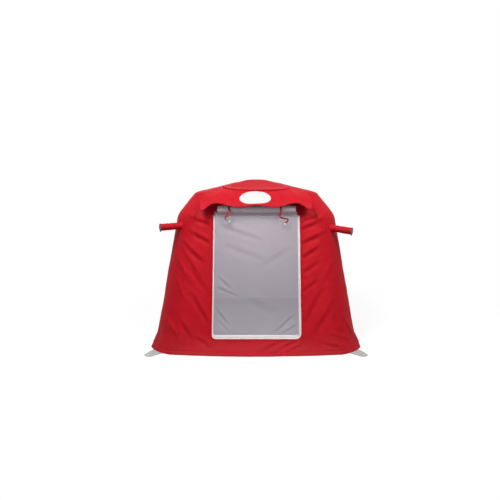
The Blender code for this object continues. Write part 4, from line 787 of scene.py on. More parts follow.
# Zip round the door
# A moulded-tooth zip on white woven tape: one half sewn to the wall, the other to the mesh door. The teeth
# of the two halves stand between one another.
TOOTH_PITCH = 0.0050
TOOTH_LENGTH = 0.0022
TOOTH_REACH = 0.0042
TOOTH_HALF = 0.0015
ZIP_WHITE = (0.86, 0.85, 0.85)
ZIP_TAPE = [(0.0030, 0.0), (0.0042, 0.0009), (0.0054, 0.0002), (0.0085, 0.0003), (0.0120, 0.0005),
            (0.0139, 0.0002)]


def grained(name, dark, pale, size, rough, swing=0.0, bump=(0.1, 0.0002), metallic=0.0):
    """A moulded or plated surface: fine grain, an uneven tone and, with a swing, an uneven polish."""
    material, tree, output = new_material(name)
    at = node(tree, "ShaderNodeTexCoord").outputs["Object"]
    grain = use(tree, crumple, at, Size=size)
    polish = maths(tree, "MULTIPLY_ADD", grain.outputs["Tone"], swing, rough) if swing else rough
    shader = node(tree, "ShaderNodeBsdfPrincipled",
                  {"Base Color": blend_colours(tree, grain.outputs["Tone"], dark, pale), "Metallic": metallic,
                   "Roughness": polish, "Normal": relief(tree, grain.outputs["Height"], *bump)})
    tree.links.new(shader.outputs[0], output.inputs["Surface"])
    return material


moulded = grained("moulded_white", (0.80, 0.79, 0.78), ZIP_WHITE, 0.003, 0.35)


def zip_half(name, side, replaced, body):
    """One half of the zip: a tape with a corded edge, and its row of teeth."""
    x, z, out_x, out_z = zip_line
    strips = np.array([on_wall(x + out_x * side * o, -lift, z + out_z * side * o) for o, lift in ZIP_TAPE])
    tape = grid(name + "_tape", strips[::side], [white_tape], thickness=0.0010, offset=0.0)
    line = zip_route(TOOTH_PITCH / 2)
    body_mesh = bmesh.new()
    for cx, cz, ox, oz in line[:, (1 if side > 0 else 2):-1:2].T:
        tx, tz = -oz, ox
        corners = []
        for depth_at, width in ((-TOOTH_HALF, 0.8), (0.0, 1.0), (TOOTH_HALF, 0.8)):
            for along, across in ((-1, -0.25), (1, -0.25), (1, 1), (-1, 1)):
                o = side * across * TOOTH_REACH
                t = along * TOOTH_LENGTH / 2 * width
                corner = on_wall(cx + ox * o + tx * t, depth_at, cz + oz * o + tz * t)
                corners.append(body_mesh.verts.new(Vector(corner)))
        for low in (0, 4):
            for i in range(4):
                j = (i + 1) % 4
                body_mesh.faces.new([corners[low + k] for k in (i, j, j + 4, i + 4)])
        body_mesh.faces.new(corners[:4])
        body_mesh.faces.new(corners[8:])
    bmesh.ops.recalc_face_normals(body_mesh, faces=body_mesh.faces)
    mesh = bpy.data.meshes.new(name + "_teeth")
    body_mesh.to_mesh(mesh)
    body_mesh.free()
    mesh.materials.append(moulded)
    teeth = link(name + "_teeth", mesh)
    for piece in (tape, teeth):
        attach(piece, body)
    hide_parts(*replaced)
    return tape, teeth


wall_tape, wall_teeth = zip_half("zip_wall", 1, ["zip_half_wall"], "tent")
door_tape, door_teeth = zip_half("zip_door", -1, ["zip_half_door", "zip_run_door"], "mesh_door")

# Plackets beside the door
# Folded strips of the red cloth down both edges that keep rain off the zip: the left one hides the wall's
# half, the right one stops beside the slider's track.
PLACKET_ROOT = 0.0185
PLACKET_FOLD = [(1.0, 0.0012), (0.97, 0.0022), (0.5, 0.0034), (0.06, 0.0040), (0.0, 0.0034), (0.03, 0.0024)]


def placket(name, side, edge):
    """A strip beside the zip, its rolled edge at a distance from the zip's centre, tapered at the foot."""
    chosen = zip_line[:, (zip_line[0] * side > 0) & (np.abs(zip_line[2]) > 0.15)]
    x, z, out_x, out_z = chosen
    full = np.abs(out_x) ** 3
    strip = []
    for share, lift in PLACKET_FOLD:
        o = PLACKET_ROOT + (edge - PLACKET_ROOT) * (1 - share) * full
        wave = (1 - share) * (0.0007 * np.sin(z * 17.0) + 0.0005 * np.sin(z * 61.0 + side)) * full
        puff = (1 - share) * share * 0.0050 * np.sin(z * 48.0 + 2.0 * np.sin(z * 9.0)) ** 2
        strip.append(on_wall(x + out_x * (o + wave), -lift - puff, z + out_z * (o + wave)))
    piece = grid(name, np.array(strip)[::-side], [red_cloth], thickness=0.0008, offset=0.0)
    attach(piece, "tent")


placket("placket_left", -1, -0.0020)
placket("placket_right", 1, 0.0098)

# Slider and pulls
# Die-cast zinc with a nickel plating, worn a little dull. The slider carries one pull on each face, hung
# from a bridge, so that the door opens from outside and from inside.
def metal(name, colour, rough):
    """Plated metal with fine scratches and a slightly uneven polish."""
    return grained(name, tuple(c * 0.8 for c in colour), colour, 0.004, rough, 0.25, (0.15, 0.0001), 1.0)


def place_on(material, *names):
    """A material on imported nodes, through their own slots."""
    for name in names:
        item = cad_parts[name]
        if not item.data.materials:
            item.data.materials.append(None)
        for entry in item.material_slots:
            entry.link = "OBJECT"
            entry.material = material


place_on(metal("nickel", (0.72, 0.70, 0.68), 0.22), "zip_slider", "zip_pull_outer", "zip_pull_inner")

# Rain flap
# One piece of the red cloth, sewn across the front of the roof, that lies over the brow and hangs over the
# rolled storm door, its hem waved and its corners pulled forward.
FLAP_CLOTH = 0.0010
FLAP_SEAM_HEIGHT = 1.622
FLAP_TOP_HALF_WIDTH = 0.355
FLAP_DIP = 0.100
FLAP_BROW = (0.500, (0.640, 0.600), (1.578, 1.585))
FLAP_FALL = (0.600, (0.820, 0.840), (1.530, 1.500))
FLAP_HALF_WIDTH = 0.545
FLAP_REACH = 0.870
FLAP_HEM = [(0.0, 1.410), (0.35, 1.397), (0.74, 1.434), (1.0, 1.372)]
FLAP_FOLDS = [((-0.9, 0.15), (-0.55, 0.85), 0.05, -0.006), ((-0.7, 0.1), (-0.72, 0.9), 0.06, 0.005),
              ((0.9, 0.15), (0.6, 0.85), 0.05, -0.006), ((0.72, 0.1), (0.76, 0.9), 0.05, 0.005),
              ((0.35, 0.45), (0.5, 1.0), 0.05, -0.004), ((-0.3, 0.5), (-0.42, 1.0), 0.05, -0.004)]


def roof_top(x, deep):
    """Height of the roof at x and a distance in front of the middle, on the panel or its corner."""
    shoulder, crown = 2 * SHOULDER_HALF - CORNER_CUTS[3], 2 * CROWN_HALF - CORNER_CUTS[4]
    on_panel = (deep / DEPTH_RATIO - SHOULDER_HALF) / (CROWN_HALF - SHOULDER_HALF)
    on_corner = (min(1.0, x + deep / DEPTH_RATIO) - shoulder) / (crown - shoulder)
    return mix(SHOULDER_HEIGHT, CROWN_HEIGHT, min(on_panel, on_corner))


def flap_hem(u):
    """Height of the hem across the flap, waved."""
    u = abs(u)
    for (low, first), (high, second) in zip(FLAP_HEM, FLAP_HEM[1:]):
        if u <= high:
            break
    share = (min(u, high) - low) / (high - low)
    return mix(first, second, share * share * (3 - 2 * share))


def flap_point(u, share):
    """A point on the flap, share from its sewn edge over the brow to its hem."""
    side = u ** 4
    deep = DEPTH_RATIO * float(plan_at(FLAP_SEAM_HEIGHT, 0.0)[0]) + FLAP_DIP * (1 - u * u)
    x = FLAP_TOP_HALF_WIDTH * u
    top = Vector((x, -deep, roof_top(abs(x), deep) + 0.0035 + 0.006 * side))
    brow = Vector((FLAP_BROW[0] * u, -mix(*FLAP_BROW[1], side), mix(*FLAP_BROW[2], side)))
    fall = Vector((FLAP_FALL[0] * u, -mix(*FLAP_FALL[1], side), mix(*FLAP_FALL[2], side)))
    hem = Vector((FLAP_HALF_WIDTH * u, -FLAP_REACH, flap_hem(u) - 0.016 * float(smooth(-u, 0.80, 1.0))))
    left = 1 - share
    return top * left ** 3 + (brow * left + fall * share) * 3 * share * left + hem * share ** 3


flap_u = np.linspace(-1.0, 1.0, 97)
flap_s = np.concatenate([[0.0, 0.008, 0.016, 0.022], np.linspace(0.030, 0.41, 84), np.linspace(0.43, 0.92, 26),
                         [0.938, 0.952, 0.962, 0.97, 0.985, 1.0]])
flap = np.array([[flap_point(u, s) for u in flap_u] for s in flap_s])
uu, ss = np.meshgrid(flap_u, flap_s)
ripple = 0.004 * np.sin(11.0 * uu + 1.0) * ss ** 2
ripple += 0.003 * np.sin(19.0 * uu * (0.6 + 0.4 * ss) + 2.0) * ss ** 3
ripple += sum(fold(uu, ss, *crease) for crease in FLAP_FOLDS)
for j in range(flap.shape[0]):
    for i in range(flap.shape[1]):
        ripple[j, i] += 0.0015 * noise.noise(Vector(flap[j, i] * 14.0)) * min(1.0, 6.0 * ss[j, i])
# the raised seam across the roof, its upper layer lying over the lower one
seam_at = 0.02 + 0.35 * (1 - np.abs(uu - 0.10 * (1 - uu * uu)) ** 3)
beyond_seam = (ss - seam_at) * 0.62
seam_full = smooth(ss, 0.025, 0.070) * (1 - smooth(np.abs(uu), 0.84, 0.97))
ripple += 0.0130 * seam_full * (1 - smooth(beyond_seam, -0.003, 0.003)) * np.exp(-(beyond_seam / 0.034) ** 2)
ripple -= 0.0035 * seam_full * np.exp(-((beyond_seam - 0.005) / 0.005) ** 2)
ripple += 0.0010 * (smooth(ss, 0.955, 0.968)) + 0.0010 * (1 - smooth(ss, 0.012, 0.02))
flap_normals = -normals_of(flap)
downhill = unit(np.gradient(flap, axis=0))
lip = 0.0110 * seam_full * np.exp(-((beyond_seam + 0.006) / 0.007) ** 2)
flap = flap + flap_normals * ripple[..., None] + downhill * lip[..., None]
rain_flap = grid("rain_flap_cloth", flap[::-1], [red_cloth, silver_lining], thickness=FLAP_CLOTH)
flap_threads = stitches("flap_stitching", [(flap[k], flap_normals[k]) for k in (2, len(flap_s) - 5)]
                        + [(flap[:, k], flap_normals[:, k]) for k in (1, len(flap_u) - 2)], thread_red)
for piece in (rain_flap, flap_threads):
    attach(piece, "tent")
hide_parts("rain_flap")

# Oval patch
# A blank white oval of coated cloth. It is sewn flat on the flap with a close border stitch, and follows the
# flap's waves.
PATCH_HALF_WIDTH = 0.152
PATCH_SHARES = (0.43, 0.75, 0.950)
PATCH_STITCHES = 0.92
PATCH_RINGS = [(1.0, 0.0002), (0.995, 0.0016), (0.97, 0.0021), (0.945, 0.0019), (PATCH_STITCHES, 0.0013),
               (0.85, 0.0014), (0.7, 0.0016), (0.5, 0.0017), (0.3, 0.0017), (0.1, 0.0017), (0.001, 0.0017)]
PATCH_WHITE = (0.60, 0.59, 0.585)
patch_cloth = cloth_material("patch_cloth", PATCH_WHITE, 0.97, 0.6, pitch=0.0009, crumples=0.15, size=0.03)


def patch_point(angle, radius):
    """A point of the patch on the flap's surface, and the way out of it."""
    u = (math.cos(angle) * radius * PATCH_HALF_WIDTH - 0.008) / FLAP_HALF_WIDTH
    up = math.sin(angle) * radius
    share = mix(PATCH_SHARES[1], PATCH_SHARES[0] if up > 0 else PATCH_SHARES[2], abs(up))
    k = (u + 1) / 2 * (len(flap_u) - 1)
    row = np.interp(share, flap_s, np.arange(len(flap_s)))
    i, j = min(int(k), len(flap_u) - 2), min(int(row), len(flap_s) - 2)
    fu, fs = k - i, row - j
    weights = np.array([[(1 - fu) * (1 - fs), fu * (1 - fs)], [(1 - fu) * fs, fu * fs]])[..., None]
    around = (slice(j, j + 2), slice(i, i + 2))
    return (flap[around] * weights).sum(axis=(0, 1)), unit((flap_normals[around] * weights).sum(axis=(0, 1)))


patch_rows, patch_edge = [], []
for radius, lift in PATCH_RINGS:
    ring = []
    for k in range(72):
        point, outward = patch_point(2 * math.pi * k / 72, radius)
        ring.append(point + outward * lift)
        if radius == PATCH_STITCHES:
            patch_edge.append((point + outward * 0.0014, outward))
    patch_rows.append(ring)
patch = grid("oval_patch_cloth", np.array(patch_rows), [patch_cloth], closed=True)
patch_threads = stitches("patch_stitching", [tuple(zip(*patch_edge))], white_tape, length=0.003, pitch=0.0042,
                         radius=0.0004)
for piece in (patch, patch_threads):
    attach(piece, "tent")
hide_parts("oval_patch")

# Rolled storm door
# The solid cloth door, unzipped and rolled up with its silver side out, lying along the shoulder under the
# flap. The ties pinch it and it sags a little between them.
ROLL_RADIUS = 0.040
ROLL_CORE = 0.013
ROLL_TURNS = 3
ROLL_HALF_LENGTH = 0.389
ROLL_CLOTH = 0.0014
ROLL_TAIL = 0.060
ROLL_HEIGHT = 1.375
ROLL_SHIFT = 0.006
ROLL_SILVER = (0.66, 0.55, 0.60)
TIE_PLACES = (-0.263, 0.283)
TIE_OVER = (-0.266, 0.246)
shoulder_low = np.array([0.0, -DEPTH_RATIO * KNEE_HALF, KNEE_HEIGHT])
shoulder_up = unit(np.array([0.0, -DEPTH_RATIO * SHOULDER_HALF, SHOULDER_HEIGHT]) - shoulder_low)
shoulder_out = np.array([0.0, -shoulder_up[2], shoulder_up[1]])
roll_stand = ROLL_RADIUS + 0.0015
roll_rise = (ROLL_HEIGHT - shoulder_out[2] * roll_stand - KNEE_HEIGHT) / shoulder_up[2]
roll_centre = shoulder_low + shoulder_up * roll_rise + shoulder_out * roll_stand
roll_path = [(-ROLL_RADIUS, ROLL_TAIL * (1 - i / 6), 0.0) for i in range(6)]
for i in range(48 * ROLL_TURNS + 1):
    share = i / (48 * ROLL_TURNS)
    angle = math.pi + 2 * math.pi * ROLL_TURNS * share
    radius = mix(ROLL_RADIUS, ROLL_CORE, share)
    roll_path.append((radius * math.cos(angle), radius * math.sin(angle), 1.0))
roll_x = np.linspace(-ROLL_HALF_LENGTH, ROLL_HALF_LENGTH, 80)
roll_points = np.zeros((len(roll_path), len(roll_x), 3))
for j, (out, up, wound) in enumerate(roll_path):
    for i, x in enumerate(roll_x):
        pinch = 1.0 - 0.10 * wound * sum(math.exp(-((x - place) / 0.018) ** 2) for place in TIE_OVER)
        soft = 1.0 + wound * (0.035 * noise.noise(Vector((x * 9.0, out * 24.0, up * 24.0))) - 0.012)
        sag = -0.0025 * wound * math.cos(math.pi * x / 0.256)
        end = 1.0 - 0.10 * wound * smooth(abs(x), ROLL_HALF_LENGTH - 0.03, ROLL_HALF_LENGTH)
        size = pinch * soft * end
        point = roll_centre + shoulder_out * (out * size if wound else out) + shoulder_up * (up * size + sag)
        roll_points[j, i] = point + np.array([x + ROLL_SHIFT, 0.0, 0.0])
rolled_cloth = cloth_material("rolled_cloth", ROLL_SILVER, 0.86, 0.42, crumples=0.5, size=0.04, specular=0.45)
roll = grid("storm_door_roll", roll_points, [rolled_cloth], thickness=ROLL_CLOTH, offset=0.0)
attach(roll, "tent")
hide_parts("rolled_storm_door")

# Ties of the roll
# Red grosgrain ribbon, sewn at the shoulder, passed over the roll and left hanging in a curl with a pale
# plastic toggle on its end.
RIBBON_WIDTH = 0.018
RIBBON_RED = (0.36, 0.010, 0.018)
ribbon_cloth = cloth_material("ribbon_cloth", RIBBON_RED, 0.8, 0.5, pitch=0.0010, thread=0.5, crumples=0.1)


def curve_through(points, count):
    """A smooth line through points, evenly spaced."""
    points = np.asarray(points, float)
    padded = np.concatenate([[2 * points[0] - points[1]], points, [2 * points[-1] - points[-2]]])
    found = []
    for i in range(1, len(padded) - 2):
        p0, p1, p2, p3 = padded[i - 1:i + 3]
        for t in np.linspace(0.0, 1.0, 12, endpoint=False):
            found.append(0.5 * (2 * p1 + (p2 - p0) * t + (2 * p0 - 5 * p1 + 4 * p2 - p3) * t * t
                                + (3 * p1 - p0 - 3 * p2 + p3) * t ** 3))
    found = np.array(found + [points[-1]])
    run = run_of(found)
    return points_at(np.linspace(0.0, run[-1], count), run, found), run[-1]


def ribbon(name, node_name, x, over_x, curl, twist):
    """A ribbon over the roll, its hanging part through the curl's (across, outward, height) points."""
    over = []
    radius = ROLL_RADIUS * 0.9 + 0.0035
    for angle in np.linspace(130.0, -30.0, 9):
        a = math.radians(angle)
        aside = (over_x - x) * min(1.0, (130.0 - angle) / 100.0)
        ray = shoulder_out * math.cos(a) + shoulder_up * math.sin(a)
        over.append(roll_centre + ray * radius + np.array([aside, 0.0, 0.0]))
    start = roll_centre - shoulder_out * (ROLL_RADIUS - 0.003) + shoulder_up * 0.088
    front = over[-1]
    hang = [np.array([across, front[1] - out, height]) for across, out, height in curl]
    points = [start, *over, *hang]
    line, length = curve_through([p + np.array([x, 0.0, 0.0]) for p in points], 90)
    tangent = unit(np.gradient(line, axis=0))
    flat = unit(np.array([1.0, 0.0, 0.0]) - tangent * tangent[:, :1])
    binormal = np.cross(tangent, flat)
    turn = twist * smooth(np.linspace(0.0, 1.0, len(line)), 0.52, 0.97)
    wide = flat * np.cos(turn)[:, None] + binormal * np.sin(turn)[:, None]
    thin = np.cross(wide, tangent)
    rows_of = [line + wide * RIBBON_WIDTH * s + thin * 0.0004 * (1 - (2 * s) ** 2)
               for s in (-0.5, -0.3, 0.0, 0.3, 0.5)]
    strip = grid(name, np.array(rows_of), [ribbon_cloth], thickness=0.0010, offset=0.0)
    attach(strip, "tent")
    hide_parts(node_name)


ribbon("tie_left", "ribbon_tie_left", TIE_PLACES[0], TIE_OVER[0],
       [(0.008, 0.010, 1.343), (-0.012, 0.014, 1.318), (-0.040, 0.008, 1.296), (-0.036, 0.006, 1.272),
        (-0.016, 0.003, 1.262), (0.0, 0.0, 1.2665)], 1.1)
ribbon("tie_right", "ribbon_tie_right", TIE_PLACES[1], TIE_OVER[1],
       [(-0.040, 0.010, 1.345), (-0.046, 0.010, 1.318), (-0.044, 0.012, 1.298), (-0.010, 0.010, 1.286),
        (0.030, 0.006, 1.276), (0.024, 0.003, 1.252), (0.0, 0.0, 1.2385)], 0.8)
toggle_plastic = grained("toggle_pale", (0.50, 0.54, 0.50), (0.58, 0.62, 0.58), 0.003, 0.35)
place_on(toggle_plastic, "tie_toggle_left", "tie_toggle_right")

# Air frame
# Coated fabric tubes, blown hard: four legs welded shut at the foot and bent at the knee, and a cross of
# roof arms. The cloth puckers at the inside of each bend and along the welds.
TUBE_RADIUS = 0.0785
TUBE_GREY = (0.50, 0.51, 0.53)
LEG_LINE = [(1.188, 0.010), (0.942, 1.276), (0.764, 1.474), (0.74, 1.4793)]
ROOF_LINE = [(0.80, 1.4595), (0.111, 1.6165), (0.0, 1.6165)]
LEG_DIRECTIONS = {"front_right": (1, -1), "rear_right": (1, 1), "rear_left": (-1, 1), "front_left": (-1, -1)}
DIAGONAL = math.hypot(1.0, DEPTH_RATIO)
tube_cloth = cloth_material("tube_cloth", TUBE_GREY, 0.92, 0.38, crumples=0.25, size=0.03, thread=0.15,
                            sheen=0.0, specular=0.5)


def eased_line(points, spacing, window):
    """Points along a bent line with its corners eased over a window."""
    points = np.asarray(points, float)
    run = run_of(points)
    s = np.linspace(0.0, run[-1], int(run[-1] / spacing) + 1)
    reach = np.minimum(window, np.minimum(s, run[-1] - s))
    return np.mean([points_at(s + k * reach, run, points) for k in np.linspace(-1, 1, 9)], axis=0)


def tube(line, pinched, seed, columns=40):
    """An inflated tube along a line of points, its first end pinched shut if asked."""
    tangent = unit(np.gradient(line, axis=0))
    side = unit(np.cross(tangent, np.array([0.0, 0.0, 1.0])))
    up = np.cross(side, tangent)
    turned, moved = np.gradient(tangent, axis=0), np.gradient(line, axis=0)
    bend = np.linalg.norm(turned, axis=1) / np.linalg.norm(moved, axis=1)
    s = np.arange(len(line)) * np.linalg.norm(line[1] - line[0])
    points = []
    for i, centre in enumerate(line):
        ring = []
        end = math.sqrt(min(1.0, (s[i] + 0.001) / 0.05) * 0.9 + 0.1) if pinched else 1.0
        for k in range(columns):
            a = 2 * math.pi * k / columns
            inner = max(0.0, -math.sin(a))
            pucker = 0.0018 * min(1.0, bend[i] / 2.0) * inner * math.sin(s[i] * 420.0 + 2 * math.sin(3 * a))
            weld = -0.0016 * math.exp(-((math.cos(a)) / 0.06) ** 2) if math.sin(a) < 0 else 0.0
            r = TUBE_RADIUS * end + pucker + weld + 0.0006 * noise.noise(Vector((s[i] * 12.0, a * 2.0, seed)))
            ring.append(centre + (side[i] * math.cos(a) + up[i] * math.sin(a)) * r)
        points.append(ring)
    return np.array(points)


def towards(sx, sy, line):
    """A line of (distance, height) points laid towards a corner of the tent."""
    return np.array([[sx / DIAGONAL * r, sy * DEPTH_RATIO / DIAGONAL * r, z] for r, z in line])


for number, (corner, (sx, sy)) in enumerate(LEG_DIRECTIONS.items()):
    points = tube(eased_line(towards(sx, sy, LEG_LINE), 0.012, 0.13), True, number * 3.0)
    leg = grid("air_leg_" + corner, points, [tube_cloth], closed=True)
    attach(leg, "tent")
    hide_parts("leg_tube_" + corner)

whole_arm = ROOF_LINE + [(-r, z) for r, z in reversed(ROOF_LINE[:-1])]
for number, (sx, sy) in enumerate(((1, -1), (1, 1))):
    points = tube(eased_line(towards(sx, sy, whole_arm), 0.014, 0.06), False, 20.0 + number)
    arms = grid("air_roof_" + ("first", "second")[number], points, [tube_cloth], closed=True)
    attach(arms, "tent")
    if number == 0:
        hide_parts("roof_cross_tube")

# Ground sheet
# Heavy coated cloth, a pan with a low rim inside the walls, creased where it was folded for packing. A strip
# of the walls' lining stands on the rim.
SHEET_RIM = 0.05
PAN_WALL = [(SHEET_RIM, 0.0005), (SHEET_RIM * 0.6, 0.0008), (0.012, 0.001), (0.004, 0.003)]
RIM_STRIP = [(SHEET_RIM - 0.004, 0.0020), (0.088, 0.0065), (0.116, 0.0095)]
CREASE_AT = 0.5
SHEET_GREY = (0.36, 0.37, 0.39)
sheet_cloth = cloth_material("ground_cloth", SHEET_GREY, 0.85, 0.5, crumples=0.5, size=0.07, specular=0.4,
                             dust_and_shade_share=0.3)


def leg_plan(z):
    """Half width, cut and rounding along the straight legs, carried on to the floor."""
    share = (z - SKIRT_HEIGHT) / (KNEE_HEIGHT - SKIRT_HEIGHT)
    return mix(SKIRT_HALF, KNEE_HALF, share), mix(CORNER_CUTS[1], CORNER_CUTS[2], share), CORNER_ROUNDS[1]


def pan_ring(z, inset):
    """A ring round the tent's plan at a height, set in from the walls."""
    half, cut_size, rounding = leg_plan(z)
    half -= inset
    reach = half - cut_size
    ring = []
    for turn in range(4):
        a = math.radians(90 * turn - 90)
        out, side = np.array([math.cos(a), math.sin(a)]), np.array([-math.sin(a), math.cos(a)])
        for t in np.linspace(-1.0, 1.0, 33):
            ring.append(out * half + side * t * reach)
        first, second = out * half + side * reach, side * half + out * reach
        diagonal = (out + side) / math.sqrt(2)
        for t in np.linspace(0.0, 1.0, 13)[1:-1]:
            ring.append(first * (1 - t) + second * t + diagonal * rounding * 4 * t * (1 - t))
    return np.array([(x, y * DEPTH_RATIO, z) for x, y in ring])


def creases(x):
    """How sharply the sheet is folded at a distance from its middle: at the middle and halfway out."""
    return math.exp(-(x / 0.012) ** 2) + math.exp(-((abs(x) - CREASE_AT) / 0.012) ** 2)


pan = [pan_ring(z, inset) for z, inset in PAN_WALL]
base = pan_ring(0.0016, 0.010)
for share in np.concatenate([[1.0, 0.985], np.linspace(0.96, 0.0004, 34)]):
    ring = base * np.array([share, share, 1.0])
    for k, point in enumerate(ring):
        rumple = max(0.0, noise.noise(Vector((point[0] * 4.0, point[1] * 4.0, 3.0))))
        lift = 0.0022 * (creases(point[0]) + creases(point[1])) + 0.003 * rumple
        ring[k, 2] = 0.0022 + lift * (1 - share ** 12)
    pan.append(ring)
ground_sheet = grid("ground_sheet_cloth", np.array(pan)[::-1], [sheet_cloth], closed=True, thickness=0.0012)
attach(ground_sheet, "tent")
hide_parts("ground_sheet")
strip_rings = np.array([pan_ring(z, inset) for z, inset in RIM_STRIP])
rim_strip = grid("rim_strip", strip_rings, [silver_lining], closed=True, thickness=0.0008, offset=0.0)
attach(rim_strip, "tent")

# Filler hoses
# A red cloth sleeve over the air hose of each front leg, through which the frame is blown up. It has a seam
# below and a stitched cuff that grips the valve.
HOSE_REACH = 0.300
HOSE_RADIUS = 0.0350
HOSE_START = 0.060
HOSE_END = 0.2945
HOSE_FORWARD = math.radians(30.0)
CUFF_ROWS = np.array([0.0200, 0.0185, 0.0170, 0.012, 0.006, 0.002, 0.0])
CUFF_STITCH_ROW = -4
HOSE_MOUTHS = {"left": ((-0.948583, -0.811326, 1.195391), 2.6),
               "right": ((0.949141, -0.812501, 1.156439), 7.0)}
mouth_frames = {}
for side, sign in (("right", 1), ("left", -1)):
    mouth, droop = np.array(HOSE_MOUTHS[side][0]), math.radians(HOSE_MOUTHS[side][1])
    ahead = np.array([sign * math.cos(HOSE_FORWARD), -math.sin(HOSE_FORWARD), 0.0])
    out = ahead * math.cos(droop) - np.array([0.0, 0.0, math.sin(droop)])
    across = unit(np.cross(np.array([0.0, 0.0, 1.0]), out))
    up = np.cross(out, across)
    mouth_frames[side] = (mouth, out, across, up)
    base = mouth - out * HOSE_REACH
    stations = np.concatenate([np.linspace(HOSE_START, HOSE_END - 0.022, 46), HOSE_END - CUFF_ROWS])
    sleeve = []
    for s in stations:
        ring = []
        for k in range(64):
            a = 2 * math.pi * k / 64
            spot = Vector((s * 60.0, math.cos(a) * 1.6, math.sin(a) * 1.6 + 7.0 * sign))
            rumple = 0.0016 * noise.noise(spot)
            rumple += 0.0012 * math.sin(s * 170.0 + 1.5 * math.sin(a + sign)) * max(0.0, math.cos(a - 0.8))
            under = 0.0015 * math.exp(-(((a - 1.5 * math.pi) * HOSE_RADIUS) / 0.003) ** 2)
            cuff = float(smooth(s, HOSE_END - CUFF_ROWS[0], HOSE_END - CUFF_ROWS[1]))
            groove = -0.0008 * math.exp(-((s - HOSE_END + CUFF_ROWS[CUFF_STITCH_ROW]) / 0.0012) ** 2)
            r = HOSE_RADIUS - 0.0008 + (rumple + under) * (1 - cuff) + 0.0010 * cuff + groove
            ring.append(base + out * s + (across * math.cos(a) + up * math.sin(a)) * r)
        sleeve.append(ring)
    sleeve = np.array(sleeve)
    sleeve_normals = normals_of(sleeve, closed=True)
    hose = grid("sleeve_" + side, sleeve, [red_cloth, silver_lining], closed=True, thickness=0.0012)
    cuff_route = (sleeve[CUFF_STITCH_ROW], sleeve_normals[CUFF_STITCH_ROW])
    threads = stitches("sleeve_stitching_" + side, [cuff_route], thread_red, lift=0.0004)
    for piece in (hose, threads):
        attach(piece, "tent")
    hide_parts("filler_hose_" + side)

# Valves
# Moulded black nylon bodies pushed into the hoses, red flip caps on pins, and inside a grey plunger on a
# coiled steel spring, which shortens as the plunger is pressed.
SPRING_LOW = -0.0173
SPRING_HIGH = -0.0107
SPRING_RADIUS = 0.0048
SPRING_WIRE = 0.0004
SPRING_TURNS = 4
TURN_POINTS = 24


def plastic(name, colour):
    """Nylon with a fine mould grain and a slightly uneven polish."""
    return grained(name, tuple(c * 0.75 for c in colour), colour, 0.0025, 0.37, 0.2, (0.2, 0.0001))


place_on(plastic("black_nylon", (0.022, 0.020, 0.022)), "valve_body_left", "valve_body_right")
place_on(plastic("red_nylon", (0.36, 0.006, 0.014)), "valve_cap_left", "valve_cap_right")
place_on(plastic("grey_nylon", (0.30, 0.31, 0.33)), "valve_plunger_left", "valve_plunger_right")
spring_steel = metal("spring_steel", (0.60, 0.60, 0.62), 0.15)
for side, (mouth, out, across, up) in mouth_frames.items():
    wire = []
    for k in range(TURN_POINTS * SPRING_TURNS + 1):
        a = 2 * math.pi * k / TURN_POINTS
        ray = across * math.cos(a) + up * math.sin(a)
        along = mix(SPRING_LOW, SPRING_HIGH, k / (TURN_POINTS * SPRING_TURNS))
        centre = mouth + out * along + ray * SPRING_RADIUS
        wire.append([centre + (ray * math.cos(b) + out * math.sin(b)) * SPRING_WIRE
                     for b in 2 * math.pi * np.arange(8) / 8])
    spring = grid("spring_" + side, np.array(wire), [spring_steel], closed=True)
    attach(spring, "tent")
    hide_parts("valve_spring_" + side)
    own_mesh(spring)

# Peg tabs and eyelets
# Tongues of grey webbing, folded double and stitched round, one under each corner, with a pressed steel
# eyelet for a peg; they lie on the ground with a slight curl.
TAB_LENGTH = 0.150
TAB_ROOT = 0.028
TAB_ROOT_HALF = 0.075
TAB_TIP = 0.052
TAB_TOP = 0.0043
EYE_INSET = 0.036
EYE_RADIUS = 0.0095
TAB_SPLAY = math.radians(12.0)
TAB_RINGS = [(0.0, 0.0), (0.03, 0.0002), (0.15, 0.0), (0.3, 0.0), (0.5, 0.0), (0.7, 0.0), (0.86, 0.0),
             (0.92, -0.0003), (0.97, 0.0), (1.0, -0.0008)]
TAB_STITCH_RING = 7
TAB_GREY = (0.42, 0.475, 0.465)
webbing = cloth_material("webbing", TAB_GREY, 0.88, 0.7, pitch=0.0022, thread=0.7, crumples=0.2, size=0.03,
                         dust_and_shade_share=0.5)
thread_grey = cloth_material("thread_grey", (0.40, 0.43, 0.41), 0.8, 0.6, pitch=0.0004, crumples=0.0)
TAB_ROOTS = {"front_right": (1.013302, -1.009622), "rear_right": (1.013302, 1.009622),
             "rear_left": (-1.013302, 1.009622), "front_left": (-1.013302, -1.009622)}


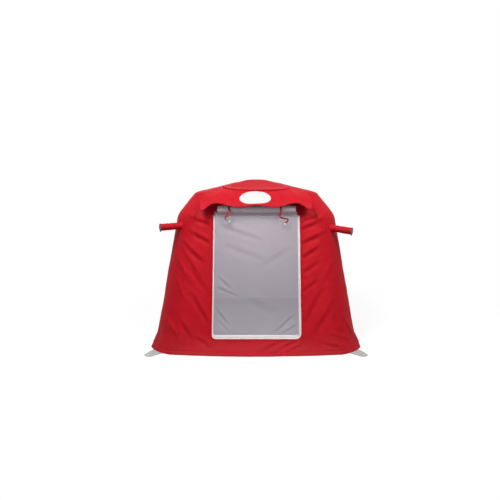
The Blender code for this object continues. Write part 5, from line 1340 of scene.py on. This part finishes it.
def half_width(d):
    """Half the tab's width at a distance from its root line, tapering to the rounded tip."""
    if d <= 0:
        return TAB_ROOT_HALF
    bend, rounded = math.radians(80), TAB_LENGTH - TAB_TIP
    start = rounded + TAB_TIP * math.cos(bend)
    if d < start:
        return mix(TAB_ROOT_HALF, TAB_TIP * math.sin(bend), d / start)
    return math.sqrt(max(0.0, TAB_TIP ** 2 - (d - rounded) ** 2))


eye = np.array([TAB_LENGTH - EYE_INSET, 0.0])
outline = []
for k in range(96):
    a = 2 * math.pi * k / 96
    ray = np.array([math.cos(a), math.sin(a)])
    low, high = 0.0, 0.30
    for _ in range(30):
        r = (low + high) / 2
        d, w = eye + ray * r
        inside = -TAB_ROOT <= d <= TAB_LENGTH and abs(w) <= half_width(d)
        low, high = (r, high) if inside else (low, r)
    outline.append(ray * low)
outline = np.array(outline)
for corner, (ex, ey) in TAB_ROOTS.items():
    sx, sy = math.copysign(1, ex), math.copysign(1, ey)
    angle = math.atan2(sy, sx) + TAB_SPLAY * sx * sy
    axis = np.array([math.cos(angle), math.sin(angle)])
    wide = np.array([-axis[1], axis[0]])
    root = np.array([ex, ey]) - axis * (TAB_LENGTH - EYE_INSET)
    rings = []
    for share, lift in TAB_RINGS:
        ring = []
        for edge in outline:
            place = eye + unit(edge) * EYE_RADIUS * (1 - share) + edge * share
            d, w = place
            flat = math.exp(-(np.linalg.norm(place - eye) / 0.03) ** 2)
            curl = 0.004 * smooth(abs(w), 0.03, 0.07) * smooth(d, 0.01, 0.05)
            curl *= 0.6 + 0.4 * math.sin(5.0 * ex + 3.0 * ey + w * 20.0)
            z = TAB_TOP + lift + curl * (1 - flat)
            x, y = root + axis * d + wide * w
            ring.append((x, y, z))
        rings.append(ring)
    rings = np.array(rings)
    tab = grid("tab_" + corner, rings[::-1], [webbing], closed=True, thickness=0.0026)
    tab_normals = np.repeat(np.array([[0.0, 0.0, 1.0]]), 97, axis=0)
    edge_ring = np.concatenate([rings[TAB_STITCH_RING], rings[TAB_STITCH_RING][:1]])
    threads = stitches("tab_stitching_" + corner, [(edge_ring, tab_normals)], thread_grey, length=0.004,
                       pitch=0.006)
    for piece in (tab, threads):
        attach(piece, "tent")
    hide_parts("peg_tab_" + corner)
place_on(metal("pressed_steel", (0.62, 0.62, 0.63), 0.25), *("peg_eyelet_" + corner for corner in TAB_ROOTS))
